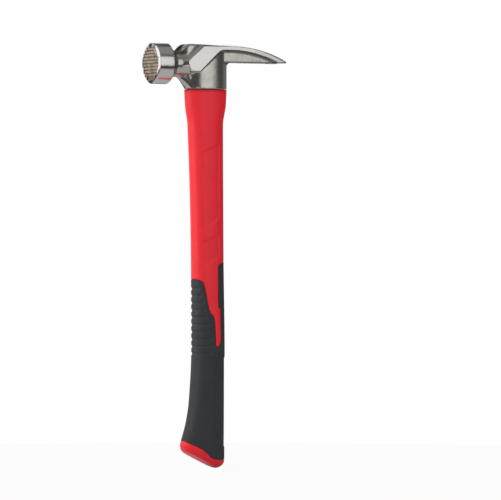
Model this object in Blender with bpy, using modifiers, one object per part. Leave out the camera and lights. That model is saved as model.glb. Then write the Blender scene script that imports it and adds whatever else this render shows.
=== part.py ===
"""A milled face framing hammer: forged head, fibreglass core, moulded jacket and rubber grip.

Metres, +Z up. The flat top of the head lies at Z = 0 and the handle hangs from it along -Z.
The striking face looks along -X, the claw reaches along +X, and Y = 0 is the plane of symmetry.
"""

import math

import bmesh
import bpy
from mathutils import Matrix

# Clearance between two pieces that touch, and how far a cutter runs past what it cuts
GAP = 0.0003
OVERRUN = 0.004

# Overall: from the flat top of the head down to the lowest point of the butt
HAMMER_LENGTH = 0.4051

# Socket: the oval tube of the head that the handle stands in
SOCKET_HEIGHT = 0.0427
SOCKET_DEPTH = 0.0428
SOCKET_WIDTH = 0.0230
SOCKET_FORWARD = 0.0011
SOCKET_SQUARENESS = 3.0
EYE_SIDE_WALL = 0.0040
EYE_END_WALL = 0.0044
EYE_TAPER = 0.0015
EYE_SQUARENESS = 2.6

# Poll: the striking end, turned round an axis along X
FACE_DIAMETER = 0.0392
FACE_REACH = 0.0601
POLL_AXIS_DROP = 0.0188
POLL_LENGTH = 0.0165
POLL_TAPER_LENGTH = 0.0061
RIM_CHAMFER_WIDTH = 0.0030
RIM_CHAMFER_LENGTH = 0.0026
NECK_DIAMETER = 0.0256
NECK_FILLET = 0.0030

# Milling on the striking face: rows of square cells in a stepped recess, a pyramid in each
MILLING_PITCH = 0.0031
MILLING_DEPTH = 0.0012
MILLING_REACH = 0.0161
MILLING_RAISE = 0.0010
PYRAMID_TIP = 0.0005
ROOT_LAND = 0.0002
TIP_BELOW_RIM = 0.0001

# Nail starter on top of the poll: a groove for the shank, a seat for the nail's head, a magnet
NAIL_GROOVE_WIDTH = 0.0060
NAIL_GROOVE_FLOOR_WIDTH = 0.0047
NAIL_GROOVE_DEPTH = 0.0036
NAIL_SEAT_WIDTH = 0.0092
NAIL_SEAT_DEPTH = 0.0064
NAIL_SEAT_WALL = 0.0034
MAGNET_DIAMETER = 0.0060
MAGNET_THICKNESS = 0.0025

# Gusset: the web that runs from under the neck down to the socket's mouth
GUSSET_REACH = 0.0115
GUSSET_LEAN = 0.0077
GUSSET_TOP_WIDTH = 0.0054
GUSSET_FOOT_WIDTH = 0.0212
GUSSET_FLARE = 0.5
GUSSET_SQUARENESS = 2.2

# Shoulder: the raised block behind the neck
SHOULDER_SLOPE = 0.0120
SHOULDER_WIDTH = 0.0208
SHOULDER_CORNER = 0.0026
SHOULDER_FOOT_WIDTH = 0.0106
SHOULDER_FOOT_CORNER = 0.0046

# Cheeks: flat panels that stand proud of the socket on both sides
CHEEK_RISE = 0.0032
CHEEK_TOP_FRONT = 0.0089
CHEEK_FACET_FRONT = 0.0165
CHEEK_NOSE_FRONT = 0.0264
CHEEK_NOSE_DROP = 0.0169
CHEEK_CHIN_DROP = 0.0269
CHEEK_CHIN_FRONT = 0.0219
CHEEK_CHIN_BACK = 0.0128
CHEEK_HEEL_BACK = 0.0093
CHIN_ROUND_BACK = 0.0015
CHIN_ROUND_RISE = 0.0010
HEEL_ROUND = 0.0040
FACET_FOOT_FORWARD = 0.0005
FACET_FOOT_RISE = 0.0019
FACET_SPREAD = 0.0015
TOP_BEVEL = 0.0024

# Claw: an arched plate with a narrower web below it, split by a V notch
CLAW_REACH = 0.0803
CLAW_START = 0.0200
CLAW_ARCH_RADIUS = 0.1200
CLAW_EDGE_THICKNESS = 0.0062
CLAW_TIP_THICKNESS = 0.0011
CLAW_TIP_BEVEL = 0.0003
CLAW_TIP_NARROWING = 0.0012
CLAW_TIP_CORNER = 0.0030
WEB_RECESS = 0.0052
WEB_ROOT_FILLET = 0.0050
NOTCH_LENGTH = 0.0340
NOTCH_MOUTH_WIDTH = 0.0092
NOTCH_ROOT_RADIUS = 0.0013
NOTCH_LIP = 0.0011

# Core: the fibreglass bar inside the handle
CORE_DEPTH = 0.0200
CORE_WIDTH = 0.0120
CORE_BACK = 0.0012
CORE_TOP_COVER = 0.0040
CORE_FOOT_COVER = 0.0250
CORE_SQUARENESS = 2.6

# Handle: front and rear edges from the handle axis, at drops below the socket's mouth
COLLAR_DROP = 0.0149
COLLAR_FRONT = 0.0217
COLLAR_REAR = 0.0195
THROAT_DROP = 0.0340
THROAT_FRONT = 0.0189
THROAT_REAR = 0.0163

# The same edges at heights above the lowest point of the butt
WAIST_HEIGHT = 0.2077
WAIST_FRONT = 0.0151
WAIST_REAR = 0.0167
PALM_HEIGHT = 0.1119
PALM_FRONT = 0.0143
PALM_REAR = 0.0176
HEEL_HEIGHT = 0.0640
HEEL_FRONT = 0.0170
HEEL_REAR = 0.0176
FLARE_HEIGHT = 0.0448
FLARE_FRONT = 0.0202
BUTT_FRONT = 0.0268
BUTT_REAR = 0.0175
BUTT_TILT_RISE = 0.0155
BUTT_ROUND_HEIGHT = 0.0075
BUTT_FRONT_ROUND = 0.0040
BUTT_REAR_ROUND = 0.0090
BUTT_SIDE_ROUND = 0.0035
HANDLE_TOP_WIDTH = 0.0212
HANDLE_GRIP_WIDTH = 0.0240
HANDLE_SQUARENESS = 2.7

# Shallow panels in the jacket's sides, at drops below the socket's mouth
PANEL_DEPTH = 0.0005
PANEL_FRONT = 0.0098
PANEL_BACK = 0.0090
PANEL_TOP = 0.0600
PANEL_BAND_TOP = 0.1360
PANEL_BAND = 0.0100
PANEL_FOOT = 0.1720
PANEL_TOP_SLANT = 0.0078
PANEL_FOOT_SLANT = 0.0130

# Grip: a rubber sleeve let into the jacket, flush with it, at heights above the butt
GRIP_THICKNESS = 0.0026
GRIP_FRONT_TOP = 0.1783
GRIP_REAR_TOP = 0.1930
GRIP_FOOT_FRONT = 0.0266
GRIP_FOOT_REAR = 0.0083

# The jacket's tongue, which the rubber leaves bare between its front and rear parts
TONGUE_FOOT = 0.1143
TONGUE_TIP_BACK = 0.0094
TONGUE_CHAMFER = 0.0042
TONGUE_BACK = 0.0132
TONGUE_STEP_RISE = 0.0368
REAR_TAB_FRONT = 0.0110
REAR_TAB_CORNER = 0.0030

# Finger pad on the front of the grip, crossed by grooves, and the plain panel behind it
RIB_COUNT = 9
RIB_PITCH = 0.0068
RIB_GROOVE_WIDTH = 0.0030
RIB_GROOVE_DEPTH = 0.0009
RIB_BORDER = 0.0050
GRIP_PANEL_DEPTH = 0.0006
GRIP_PANEL_TOP = 0.1060
GRIP_PANEL_FOOT = 0.0200

# Edges that curve down the side of the grip: X at shares of the way from top to foot
TONGUE_FRONT_EDGE = ((0.0, -0.0150), (0.03, -0.0100), (0.17, -0.0069), (0.48, -0.0017), (0.77, 0.0038),
                     (1.0, 0.0047))
PAD_BACK_EDGE = ((0.0, -0.0130), (0.09, -0.0100), (0.48, -0.0029), (0.72, 0.0008), (0.88, 0.0012),
                 (1.0, -0.0058))
GRIP_PANEL_EDGE = ((0.0, 0.0075), (0.05, 0.0050), (0.10, 0.0041), (0.94, 0.0017), (1.0, 0.0060))

# Foot of the rubber: shares of the rise from its rear edge to its front edge, at X
GRIP_FOOT_EDGE = ((-0.0235, 1.0), (-0.0205, 0.92), (-0.0182, 0.75), (-0.0140, 0.66), (-0.0069, 0.46),
                  (0.0020, 0.14), (0.0074, 0.0))

# Facets
RING_POINTS = 32
TURNED_STEPS = 40
CORNER_STEPS = 4
FILLET_STEPS = 5
SLOPE_STEPS = 4
EDGE_STEPS = 12
TILTED_RINGS = 5
BUTT_RINGS = 4

# Sizes that follow from the ones above
socket_front = -SOCKET_FORWARD - SOCKET_DEPTH / 2
socket_rear = socket_front + SOCKET_DEPTH
socket_half = SOCKET_WIDTH / 2
neck_radius = NECK_DIAMETER / 2
neck_top = neck_radius - POLL_AXIS_DROP
neck_bottom = -neck_radius - POLL_AXIS_DROP
poll_top = FACE_DIAMETER / 2 - POLL_AXIS_DROP
poll_back = POLL_LENGTH + POLL_TAPER_LENGTH - FACE_REACH
cheek_half = socket_half + CHEEK_RISE
plate_half = cheek_half - TOP_BEVEL
facet_half = plate_half - FACET_SPREAD
web_half = cheek_half - WEB_RECESS
nail_seat_floor = -NAIL_SEAT_DEPTH
core_top = -CORE_TOP_COVER
core_foot = CORE_FOOT_COVER - HAMMER_LENGTH

# Outlines drawn in the plane of the handle, (X, Z), or seen from above, (X, Y)
SIDE_VIEW = Matrix.Rotation(math.pi / 2, 4, "X")
TOP_VIEW = Matrix.Identity(4)

# The striking face's own frame: its Z axis points out of the face
FACE_FRAME = Matrix.Translation((-FACE_REACH, 0, -POLL_AXIS_DROP)) @ Matrix.Rotation(-math.pi / 2, 4, "Y")


def clear_scene():
    for thing in list(bpy.data.objects):
        bpy.data.objects.remove(thing)


def new_collection(name):
    collection = bpy.data.collections.new(name)
    bpy.context.scene.collection.children.link(collection)
    return collection


def add_mesh_object(name, mesh, collection):
    thing = bpy.data.objects.new(name, mesh)
    collection.objects.link(thing)
    if collection is cutters:
        thing.hide_render = True
        thing.display_type = "WIRE"
    return thing


def finish_mesh(mesh, shell):
    """Points the faces of a closed shell outwards and writes it to the mesh."""
    bmesh.ops.recalc_face_normals(shell, faces=shell.faces)
    shell.to_mesh(mesh)
    shell.free()


def smooth_curve(stations):
    """A smooth curve through (place, value) stations that never swings past them."""
    places = [place for place, _ in stations]
    values = [value for _, value in stations]
    spans = [after - before for before, after in zip(places, places[1:])]
    rises = [(after - before) / span for before, after, span in zip(values, values[1:], spans)]
    slopes = [rises[0]]
    for before, after in zip(rises, rises[1:]):
        level = before * after <= 0
        slopes.append(0.0 if level else 2 * before * after / (before + after))
    slopes.append(rises[-1])

    def value_at(place):
        place = min(max(place, places[0]), places[-1])
        index = max(number for number in range(len(spans)) if places[number] <= place)
        share = (place - places[index]) / spans[index]
        ease = share * share * (3 - 2 * share)
        leave = share * (1 - share) ** 2 * spans[index] * slopes[index]
        arrive = share * share * (share - 1) * spans[index] * slopes[index + 1]
        return values[index] + ease * (values[index + 1] - values[index]) + leave + arrive

    return value_at


def arc(centre, radius, start, end, steps):
    """Points on an arc from one angle to another, in degrees."""
    points = []
    for step in range(steps + 1):
        angle = math.radians(start + (end - start) * step / steps)
        points.append((centre[0] + radius * math.cos(angle), centre[1] + radius * math.sin(angle)))
    return points


def bezier(start, control, end, steps):
    """Points on a curve with one control point."""
    points = []
    for step in range(steps + 1):
        share = step / steps
        points.append(between(between(start, control, share), between(control, end, share), share))
    return points


def between(start, end, share):
    return tuple(a + (b - a) * share for a, b in zip(start, end))


def side_edge(stations, top, foot):
    """Points down an edge in side view, from stations of X at shares of the way down."""
    place_at = smooth_curve(stations)
    shares = [step / EDGE_STEPS for step in range(EDGE_STEPS + 1)]
    return [(place_at(share), top + (foot - top) * share) for share in shares]


def grown(outline, margin):
    """The closed outline with every edge moved outwards by the margin."""
    count = len(outline)
    area = sum(outline[i - 1][0] * outline[i][1] - outline[i][0] * outline[i - 1][1] for i in range(count))
    side = margin if area > 0 else -margin
    points = []
    for index in range(count):
        before, here, after = outline[index - 1], outline[index], outline[(index + 1) % count]
        normals = []
        for start, end in ((before, here), (here, after)):
            length = math.dist(start, end)
            normals.append(((end[1] - start[1]) / length, (start[0] - end[0]) / length))
        mitre = 1 + normals[0][0] * normals[1][0] + normals[0][1] * normals[1][1]
        points.append(tuple(here[i] + side * (normals[0][i] + normals[1][i]) / mitre for i in (0, 1)))
    return points


def oval_ring(front, rear, half_width, squareness, points=RING_POINTS):
    """A superellipse whose long axis runs from one (X, Z) point to another, wide along Y."""
    middle = between(front, rear, 0.5)
    reach = ((rear[0] - front[0]) / 2, (rear[1] - front[1]) / 2)
    ring = []
    for step in range(points):
        angle = 2 * math.pi * step / points
        along = math.copysign(abs(math.cos(angle)) ** (2 / squareness), math.cos(angle))
        across = math.copysign(abs(math.sin(angle)) ** (2 / squareness), math.sin(angle))
        ring.append((middle[0] + reach[0] * along, half_width * across, middle[1] + reach[1] * along))
    return ring


def block_ring(place, half_width, top, bottom, corner):
    """A rectangle with round corners in the YZ plane at X = place."""
    ring = []
    corners = (
        (half_width - corner, top - corner, 0),
        (corner - half_width, top - corner, 90),
        (corner - half_width, bottom + corner, 180),
        (half_width - corner, bottom + corner, 270),
    )
    for across, up, start in corners:
        for y, z in arc((across, up), corner, start, start + 90, CORNER_STEPS):
            ring.append((place, y, z))
    return ring


def loft(name, rings, collection):
    """A closed solid through rings that have the same number of points."""
    mesh = bpy.data.meshes.new(name)
    shell = bmesh.new()
    loops = [[shell.verts.new(point) for point in ring] for ring in rings]
    for lower, upper in zip(loops, loops[1:]):
        for index in range(len(lower)):
            shell.faces.new((lower[index - 1], lower[index], upper[index], upper[index - 1]))
    shell.faces.new(loops[0])
    shell.faces.new(loops[-1])
    finish_mesh(mesh, shell)
    return add_mesh_object(name, mesh, collection)


def extrusion(name, outline, half_thickness, view, collection):
    """A flat outline as a filled curve, extruded to both sides and made a mesh."""
    curve = bpy.data.curves.new(name, "CURVE")
    curve.dimensions = "2D"
    curve.fill_mode = "BOTH"
    curve.extrude = half_thickness
    spline = curve.splines.new("POLY")
    spline.points.add(len(outline) - 1)
    for point, (across, up) in zip(spline.points, outline):
        point.co = (across, up, 0, 1)
    spline.use_cyclic_u = True
    drawn = bpy.data.objects.new(name + "_curve", curve)
    drawn.matrix_world = view
    cutters.objects.link(drawn)
    bpy.context.view_layer.update()
    mesh = bpy.data.meshes.new_from_object(drawn.evaluated_get(bpy.context.evaluated_depsgraph_get()))
    mesh.name = name
    mesh.transform(drawn.matrix_world)
    bpy.data.objects.remove(drawn)
    shell = bmesh.new()
    shell.from_mesh(mesh)
    bmesh.ops.remove_doubles(shell, verts=shell.verts, dist=1e-6)
    finish_mesh(mesh, shell)
    return add_mesh_object(name, mesh, collection)


def turned(name, profile, collection):
    """A profile of (radius, height) points, listed top to bottom, turned round its own Z axis."""
    mesh = bpy.data.meshes.new(name)
    points = [(radius, 0, height) for radius, height in profile]
    mesh.from_pydata(points, [(index, index + 1) for index in range(len(points) - 1)], [])
    thing = add_mesh_object(name, mesh, collection)
    screw = thing.modifiers.new("turn", "SCREW")
    screw.axis = "Z"
    screw.steps = TURNED_STEPS
    screw.render_steps = TURNED_STEPS
    screw.use_merge_vertices = True
    screw.merge_threshold = 0.00001
    screw.use_smooth_shade = False
    return thing


def cylinder(name, diameter, bottom, top, place, collection):
    """An upright cylinder between two heights at an X place."""
    mesh = bpy.data.meshes.new(name)
    shell = bmesh.new()
    bmesh.ops.create_cone(
        shell,
        cap_ends=True,
        segments=TURNED_STEPS,
        radius1=diameter / 2,
        radius2=diameter / 2,
        depth=top - bottom,
        matrix=Matrix.Translation((place, 0, (top + bottom) / 2)),
    )
    finish_mesh(mesh, shell)
    return add_mesh_object(name, mesh, collection)


def combine(target, operation, *others, solver="EXACT"):
    """Boolean modifiers on the target, one for each of the other solids."""
    for other in others:
        boolean = target.modifiers.new(operation.lower() + "_" + other.name, "BOOLEAN")
        boolean.operation = operation
        boolean.solver = solver
        boolean.object = other
    return target


def give_material(thing, colour, roughness, metallic=0.0):
    material = bpy.data.materials.new(thing.name)
    material.use_nodes = True
    shader = material.node_tree.nodes["Principled BSDF"]
    shader.inputs["Base Color"].default_value = (*colour, 1)
    shader.inputs["Roughness"].default_value = roughness
    shader.inputs["Metallic"].default_value = metallic
    thing.data.materials.clear()
    thing.data.materials.append(material)


def claw_top(place):
    """Height of the claw's arched top at X = place."""
    past = max(place - CLAW_START, 0.0)
    return math.sqrt(CLAW_ARCH_RADIUS**2 - past**2) - CLAW_ARCH_RADIUS


claw_floor = claw_top(CLAW_REACH) - CLAW_TIP_THICKNESS


def claw_stations(start, count):
    return [start + (CLAW_REACH - start) * step / count for step in range(count + 1)]


def cheek_and_claw_outline(front_share, bevel_share):
    """Side outline of the cheeks and the claw plate, at one distance from the middle plane.

    The front edge moves from the foot of the facet to the cheek's own edge with front_share,
    and the top edge sinks by the bevel with bevel_share.
    """
    nose = (-CHEEK_NOSE_FRONT, -CHEEK_NOSE_DROP)
    nose_foot = (nose[0] - FACET_FOOT_FORWARD, nose[1] + FACET_FOOT_RISE)
    points = [
        between((-CHEEK_FACET_FRONT, 0.0), (-CHEEK_TOP_FRONT, -TOP_BEVEL * bevel_share), front_share),
        between(nose_foot, nose, front_share),
    ]
    chin = (-CHEEK_CHIN_FRONT, -CHEEK_CHIN_DROP)
    chin_corner = (nose[0] + CHIN_ROUND_BACK, chin[1] + CHIN_ROUND_RISE)
    points += bezier(points[-1], chin_corner, chin, 3)[1:]
    chin_back = (-CHEEK_CHIN_BACK, -CHEEK_CHIN_DROP)
    points.append(chin_back)
    heel = (CHEEK_HEEL_BACK, -CLAW_EDGE_THICKNESS)
    past_heel = (CHEEK_HEEL_BACK + HEEL_ROUND, -CLAW_EDGE_THICKNESS)
    points += bezier(between(heel, chin_back, HEEL_ROUND / math.dist(heel, chin_back)), heel, past_heel, 3)
    for place in claw_stations(CLAW_START, 12):
        points.append((place, max(claw_top(place) - CLAW_EDGE_THICKNESS, claw_floor)))
    for place in reversed(claw_stations(CLAW_START, 10)):
        share = (place - CLAW_START) / (CLAW_REACH - CLAW_START)
        sink = bevel_share * (TOP_BEVEL + (CLAW_TIP_BEVEL - TOP_BEVEL) * share)
        points.append((place, claw_top(place) - sink))
    return points


def make_cheeks_and_claw_plate():
    facet_share = FACET_SPREAD / (FACET_SPREAD + TOP_BEVEL)
    layers = (
        (-cheek_half, 1.0, 1.0),
        (-plate_half, facet_share, 0.0),
        (-facet_half, 0.0, 0.0),
        (facet_half, 0.0, 0.0),
        (plate_half, facet_share, 0.0),
        (cheek_half, 1.0, 1.0),
    )
    rings = []
    for across, front_share, bevel_share in layers:
        rings.append([(x, across, z) for x, z in cheek_and_claw_outline(front_share, bevel_share)])
    return loft("cheeks_and_claw_plate", rings, cutters)


def make_claw_web():
    """The narrower web below the claw plate, with a flat underside."""
    inside = -SOCKET_FORWARD
    top = [(place, claw_top(place) - CLAW_EDGE_THICKNESS / 2) for place in claw_stations(CLAW_START, 8)]
    top = [point for point in top if point[1] > claw_floor + CLAW_TIP_THICKNESS]
    tail = (top[-1][0] + 2 * CLAW_TIP_THICKNESS, claw_floor)
    outline = [(inside, -CLAW_EDGE_THICKNESS / 2), *top, tail, (inside, claw_floor)]
    return extrusion("claw_web", outline, web_half, SIDE_VIEW, cutters)


def make_claw_root():
    """Horizontal rings that fillet the web's underside into the back of the socket."""
    front = socket_front + GAP
    centre = (socket_rear + WEB_ROOT_FILLET, claw_floor - WEB_ROOT_FILLET)
    rings = []
    for place, height in arc(centre, WEB_ROOT_FILLET, 180, 90, FILLET_STEPS):
        share = (place - socket_rear) / WEB_ROOT_FILLET
        half = socket_half + (web_half - socket_half) * share - GAP
        rings.append(oval_ring((front, height), (place - GAP, height), half, SOCKET_SQUARENESS))
    buried = claw_floor / 2
    rings.append(oval_ring((front, buried), (socket_rear, buried), web_half - GAP, SOCKET_SQUARENESS))
    return loft("claw_root", rings, cutters)


def make_claw_plan():
    """Plan outline that trims the head: the claw narrows to its tips, which have round corners."""
    half = cheek_half + OVERRUN
    tip_half = cheek_half - CLAW_TIP_NARROWING
    corner = CLAW_TIP_CORNER
    side = [(-FACE_REACH - OVERRUN, FACE_DIAMETER), (CLAW_START, half), (CLAW_START, cheek_half + GAP)]
    side += reversed(arc((CLAW_REACH - corner, tip_half - corner), corner, 0, 90, CORNER_STEPS))
    outline = side + [(x, -y) for x, y in reversed(side)]
    return extrusion("claw_plan", outline, SOCKET_HEIGHT + FACE_DIAMETER, TOP_VIEW, cutters)


def notch_half_width(place):
    root = CLAW_REACH - NOTCH_LENGTH + NOTCH_ROOT_RADIUS
    share = (place - root) / (CLAW_REACH - root)
    return NOTCH_ROOT_RADIUS + (NOTCH_MOUTH_WIDTH / 2 - NOTCH_ROOT_RADIUS) * share


def make_claw_notch():
    root = CLAW_REACH - NOTCH_LENGTH + NOTCH_ROOT_RADIUS
    past = CLAW_REACH + OVERRUN
    outline = [(past, notch_half_width(past))]
    outline += arc((root, 0), NOTCH_ROOT_RADIUS, 90, 270, 7)
    outline.append((past, -notch_half_width(past)))
    return extrusion("claw_notch", outline, SOCKET_HEIGHT, TOP_VIEW, cutters)


def make_notch_lip():
    """A three-sided trough along the arched top that bevels both edges of the notch."""
    rings = []
    start = CLAW_REACH - NOTCH_LENGTH - NOTCH_LIP
    for place in claw_stations(start, 6) + [CLAW_REACH + OVERRUN]:
        half = notch_half_width(place) + NOTCH_LIP
        top = claw_top(place)
        rings.append([(place, -half - OVERRUN, top + OVERRUN), (place, half + OVERRUN, top + OVERRUN),
                      (place, 0.0, top - half)])
    return loft("notch_lip", rings, cutters)


def make_poll():
    face_radius = FACE_DIAMETER / 2
    taper_foot = FACE_REACH - POLL_LENGTH - POLL_TAPER_LENGTH
    inside = CHEEK_CHIN_BACK + GAP
    taper_point = (neck_radius, taper_foot)
    taper_angle = math.atan2(face_radius - neck_radius, POLL_TAPER_LENGTH)
    tangent = NECK_FILLET * math.tan(taper_angle / 2)
    fillet_radius = neck_radius + tangent * math.sin(taper_angle)
    fillet_start = (fillet_radius, taper_foot + tangent * math.cos(taper_angle))
    profile = [
        (0.0, FACE_REACH),
        (face_radius - RIM_CHAMFER_WIDTH, FACE_REACH),
        (face_radius, FACE_REACH - RIM_CHAMFER_LENGTH),
        (face_radius, FACE_REACH - POLL_LENGTH),
        *bezier(fillet_start, taper_point, (neck_radius, taper_foot - tangent), 3),
        (neck_radius, inside),
        (0.0, inside),
    ]
    poll = turned("poll_and_neck", profile, cutters)
    poll.location = (0, 0, -POLL_AXIS_DROP)
    poll.rotation_euler = (0, -math.pi / 2, 0)
    return poll


def make_gusset():
    """Horizontal rings whose fronts follow a curve from the neck's underside to the mouth."""
    start = (socket_front - GUSSET_REACH, neck_bottom + GAP)
    control = (socket_front - GUSSET_LEAN, neck_bottom + GAP)
    end = (socket_front + GAP, -SOCKET_HEIGHT)
    back = -SOCKET_FORWARD
    buried = (start[0], (neck_bottom - POLL_AXIS_DROP) / 2)
    fronts = [buried, *bezier(start, control, end, 7)]
    rings = []
    for front in fronts:
        share = max((start[1] - front[1]) / (start[1] - end[1]), 0.0) ** GUSSET_FLARE
        half = (GUSSET_TOP_WIDTH + (GUSSET_FOOT_WIDTH - GUSSET_TOP_WIDTH) * share) / 2
        rings.append(oval_ring(front, (back, front[1]), half, GUSSET_SQUARENESS))
    return loft("gusset", rings, cutters)


def make_shoulder():
    """Block rings from inside the neck's top back to the cheeks, with a sloping front."""
    foot = socket_front - SHOULDER_SLOPE
    half = SHOULDER_WIDTH / 2
    bottom = -POLL_AXIS_DROP
    rings = []
    for step in range(SLOPE_STEPS):
        share = step / SLOPE_STEPS
        rise = share * share * (3 - 2 * share)
        widening = share * (2 - share)
        place = foot + SHOULDER_SLOPE * share
        ring_half = (SHOULDER_FOOT_WIDTH + (SHOULDER_WIDTH - SHOULDER_FOOT_WIDTH) * widening) / 2
        top = (neck_top - GAP) * (1 - rise)
        corner = SHOULDER_FOOT_CORNER + (SHOULDER_CORNER - SHOULDER_FOOT_CORNER) * share
        rings.append(block_ring(place, ring_half, top, bottom, corner))
    rings += [
        block_ring(socket_front, half, 0.0, bottom, SHOULDER_CORNER),
        block_ring(-CHEEK_TOP_FRONT, half, 0.0, bottom, SHOULDER_CORNER),
        block_ring(GAP - CHEEK_TOP_FRONT, half, -TOP_BEVEL / 2, bottom, SHOULDER_CORNER),
        block_ring(0.0, half, -TOP_BEVEL / 2, bottom, SHOULDER_CORNER),
    ]
    return loft("shoulder", rings, cutters)


def eye_rings(inset, bottom, top):
    """Rings of the tapered eye, moved inwards by the inset and run to the given heights."""
    rings = []
    for height in (bottom, top):
        widening = EYE_TAPER * (height + SOCKET_HEIGHT) / SOCKET_HEIGHT - inset
        front = socket_front + EYE_END_WALL - widening
        rear = socket_rear - EYE_END_WALL + widening
        half = socket_half - EYE_SIDE_WALL + widening
        rings.append(oval_ring((front, height), (rear, height), half, EYE_SQUARENESS))
    return rings


def make_nail_groove():
    """Trapezium groove over the top of the poll, for the nail's shank."""
    floor = poll_top - NAIL_GROOVE_DEPTH
    half_top = NAIL_GROOVE_WIDTH / 2
    half_floor = NAIL_GROOVE_FLOOR_WIDTH / 2
    flare = (half_top - half_floor) * (NAIL_GROOVE_DEPTH + OVERRUN) / NAIL_GROOVE_DEPTH
    rings = []
    for place in (-FACE_REACH - OVERRUN, poll_back):
        high = poll_top + OVERRUN
        rings.append([(place, -half_floor - flare, high), (place, half_floor + flare, high),
                      (place, half_floor, floor), (place, -half_floor, floor)])
    return loft("nail_groove", rings, cutters)


nail_seat_back = socket_front + EYE_END_WALL - EYE_TAPER - NAIL_SEAT_WALL
magnet_place = nail_seat_back - NAIL_SEAT_WIDTH / 2


def make_nail_seat():
    """Slot behind the poll with a round back, for the nail's head."""
    half = NAIL_SEAT_WIDTH / 2
    front = poll_back - GAP
    outline = [(front, -half), *arc((magnet_place, 0), half, -90, 90, 10), (front, half)]
    seat = extrusion("nail_seat", outline, NAIL_SEAT_DEPTH, TOP_VIEW, cutters)
    return seat


def milling_rows():
    """The rows of cells from the bottom up: how high each lies in the face, and its last column."""
    rows = []
    most = round(MILLING_REACH / MILLING_PITCH)
    for number in range(-most, most + 1):
        up = MILLING_RAISE + number * MILLING_PITCH
        if abs(up) < MILLING_REACH:
            rows.append((up, int(math.sqrt(MILLING_REACH**2 - up**2) / MILLING_PITCH)))
    return rows


def make_milled_recess():
    """The recess that the pyramids stand in, whose outline steps from row to row."""
    side = []
    for up, last_column in milling_rows():
        half = (last_column + 0.5) * MILLING_PITCH
        for corner in ((up - MILLING_PITCH / 2, half), (up + MILLING_PITCH / 2, half)):
            if not side or math.dist(side[-1], corner) > GAP:
                side.append(corner)
    outline = side + [(up, -half) for up, half in reversed(side)]
    return extrusion("milled_recess", outline, MILLING_DEPTH, FACE_FRAME, cutters)


def make_pyramids():
    """A pyramid with a flat tip in each cell, apart from the lowest row, which stays plain."""
    mesh = bpy.data.meshes.new("pyramids")
    shell = bmesh.new()
    rise = (MILLING_PITCH - ROOT_LAND - PYRAMID_TIP) / MILLING_DEPTH
    sink = ROOT_LAND / rise / 2
    bottom_width = MILLING_PITCH - ROOT_LAND + sink * rise
    middle = (-MILLING_DEPTH - sink - TIP_BELOW_RIM) / 2
    quarter_turn = Matrix.Rotation(math.pi / 4, 4, "Z")
    for up, last_column in milling_rows()[1:]:
        for column in range(-last_column, last_column + 1):
            place = Matrix.Translation((up, column * MILLING_PITCH, middle))
            bmesh.ops.create_cone(
                shell,
                cap_ends=True,
                segments=4,
                radius1=bottom_width / math.sqrt(2),
                radius2=PYRAMID_TIP / math.sqrt(2),
                depth=MILLING_DEPTH + sink - TIP_BELOW_RIM,
                matrix=place @ quarter_turn,
            )
    finish_mesh(mesh, shell)
    pyramids = add_mesh_object("pyramids", mesh, cutters)
    pyramids.matrix_world = FACE_FRAME
    return pyramids


def make_head():
    rings = []
    for height in (-SOCKET_HEIGHT, -TOP_BEVEL / 2):
        front, rear = (socket_front, height), (socket_rear, height)
        rings.append(oval_ring(front, rear, socket_half, SOCKET_SQUARENESS))
    head = loft("hammer_head", rings, parts)
    combine(head, "UNION", make_poll(), make_gusset(), make_shoulder(), make_cheeks_and_claw_plate())
    combine(head, "UNION", make_claw_web(), make_claw_root())
    combine(head, "INTERSECT", make_claw_plan())
    eye = loft("eye", eye_rings(0.0, -SOCKET_HEIGHT - OVERRUN, OVERRUN), cutters)
    magnet_hole = cylinder(
        "magnet_hole",
        MAGNET_DIAMETER + 2 * GAP,
        nail_seat_floor - MAGNET_THICKNESS - GAP,
        OVERRUN,
        magnet_place,
        cutters,
    )
    combine(head, "DIFFERENCE", eye, make_claw_notch(), make_notch_lip(), make_nail_groove())
    combine(head, "DIFFERENCE", make_nail_seat(), magnet_hole)
    combine(head, "DIFFERENCE", make_milled_recess(), solver="MANIFOLD")
    combine(head, "UNION", make_pyramids(), solver="MANIFOLD")
    give_material(head, (0.56, 0.55, 0.53), 0.28, 1.0)
    return head


def make_magnet():
    magnet = cylinder(
        "nail_magnet",
        MAGNET_DIAMETER,
        nail_seat_floor - MAGNET_THICKNESS,
        nail_seat_floor,
        magnet_place,
        parts,
    )
    give_material(magnet, (0.30, 0.29, 0.28), 0.35, 1.0)


def core_rings(margin, bottom, top):
    rings = []
    for height in (bottom, top):
        front = (CORE_BACK - CORE_DEPTH / 2 - margin, height)
        rear = (CORE_BACK + CORE_DEPTH / 2 + margin, height)
        rings.append(oval_ring(front, rear, CORE_WIDTH / 2 + margin, CORE_SQUARENESS))
    return rings


def make_core():
    core = loft("fiberglass_core", core_rings(0.0, core_foot, core_top), parts)
    give_material(core, (0.80, 0.74, 0.52), 0.5)


def make_resin():
    """Fills the eye round the core and over its end, flush with the top of the head."""
    resin = loft("eye_resin", eye_rings(GAP, -SOCKET_HEIGHT, 0.0), parts)
    hollow = loft("resin_hollow", core_rings(GAP, -SOCKET_HEIGHT - OVERRUN, core_top + GAP), cutters)
    combine(resin, "DIFFERENCE", hollow)
    give_material(resin, (0.05, 0.05, 0.05), 0.45)


def drop_of(height):
    """Drop below the head's top of a height above the lowest point of the butt."""
    return HAMMER_LENGTH - height


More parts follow.
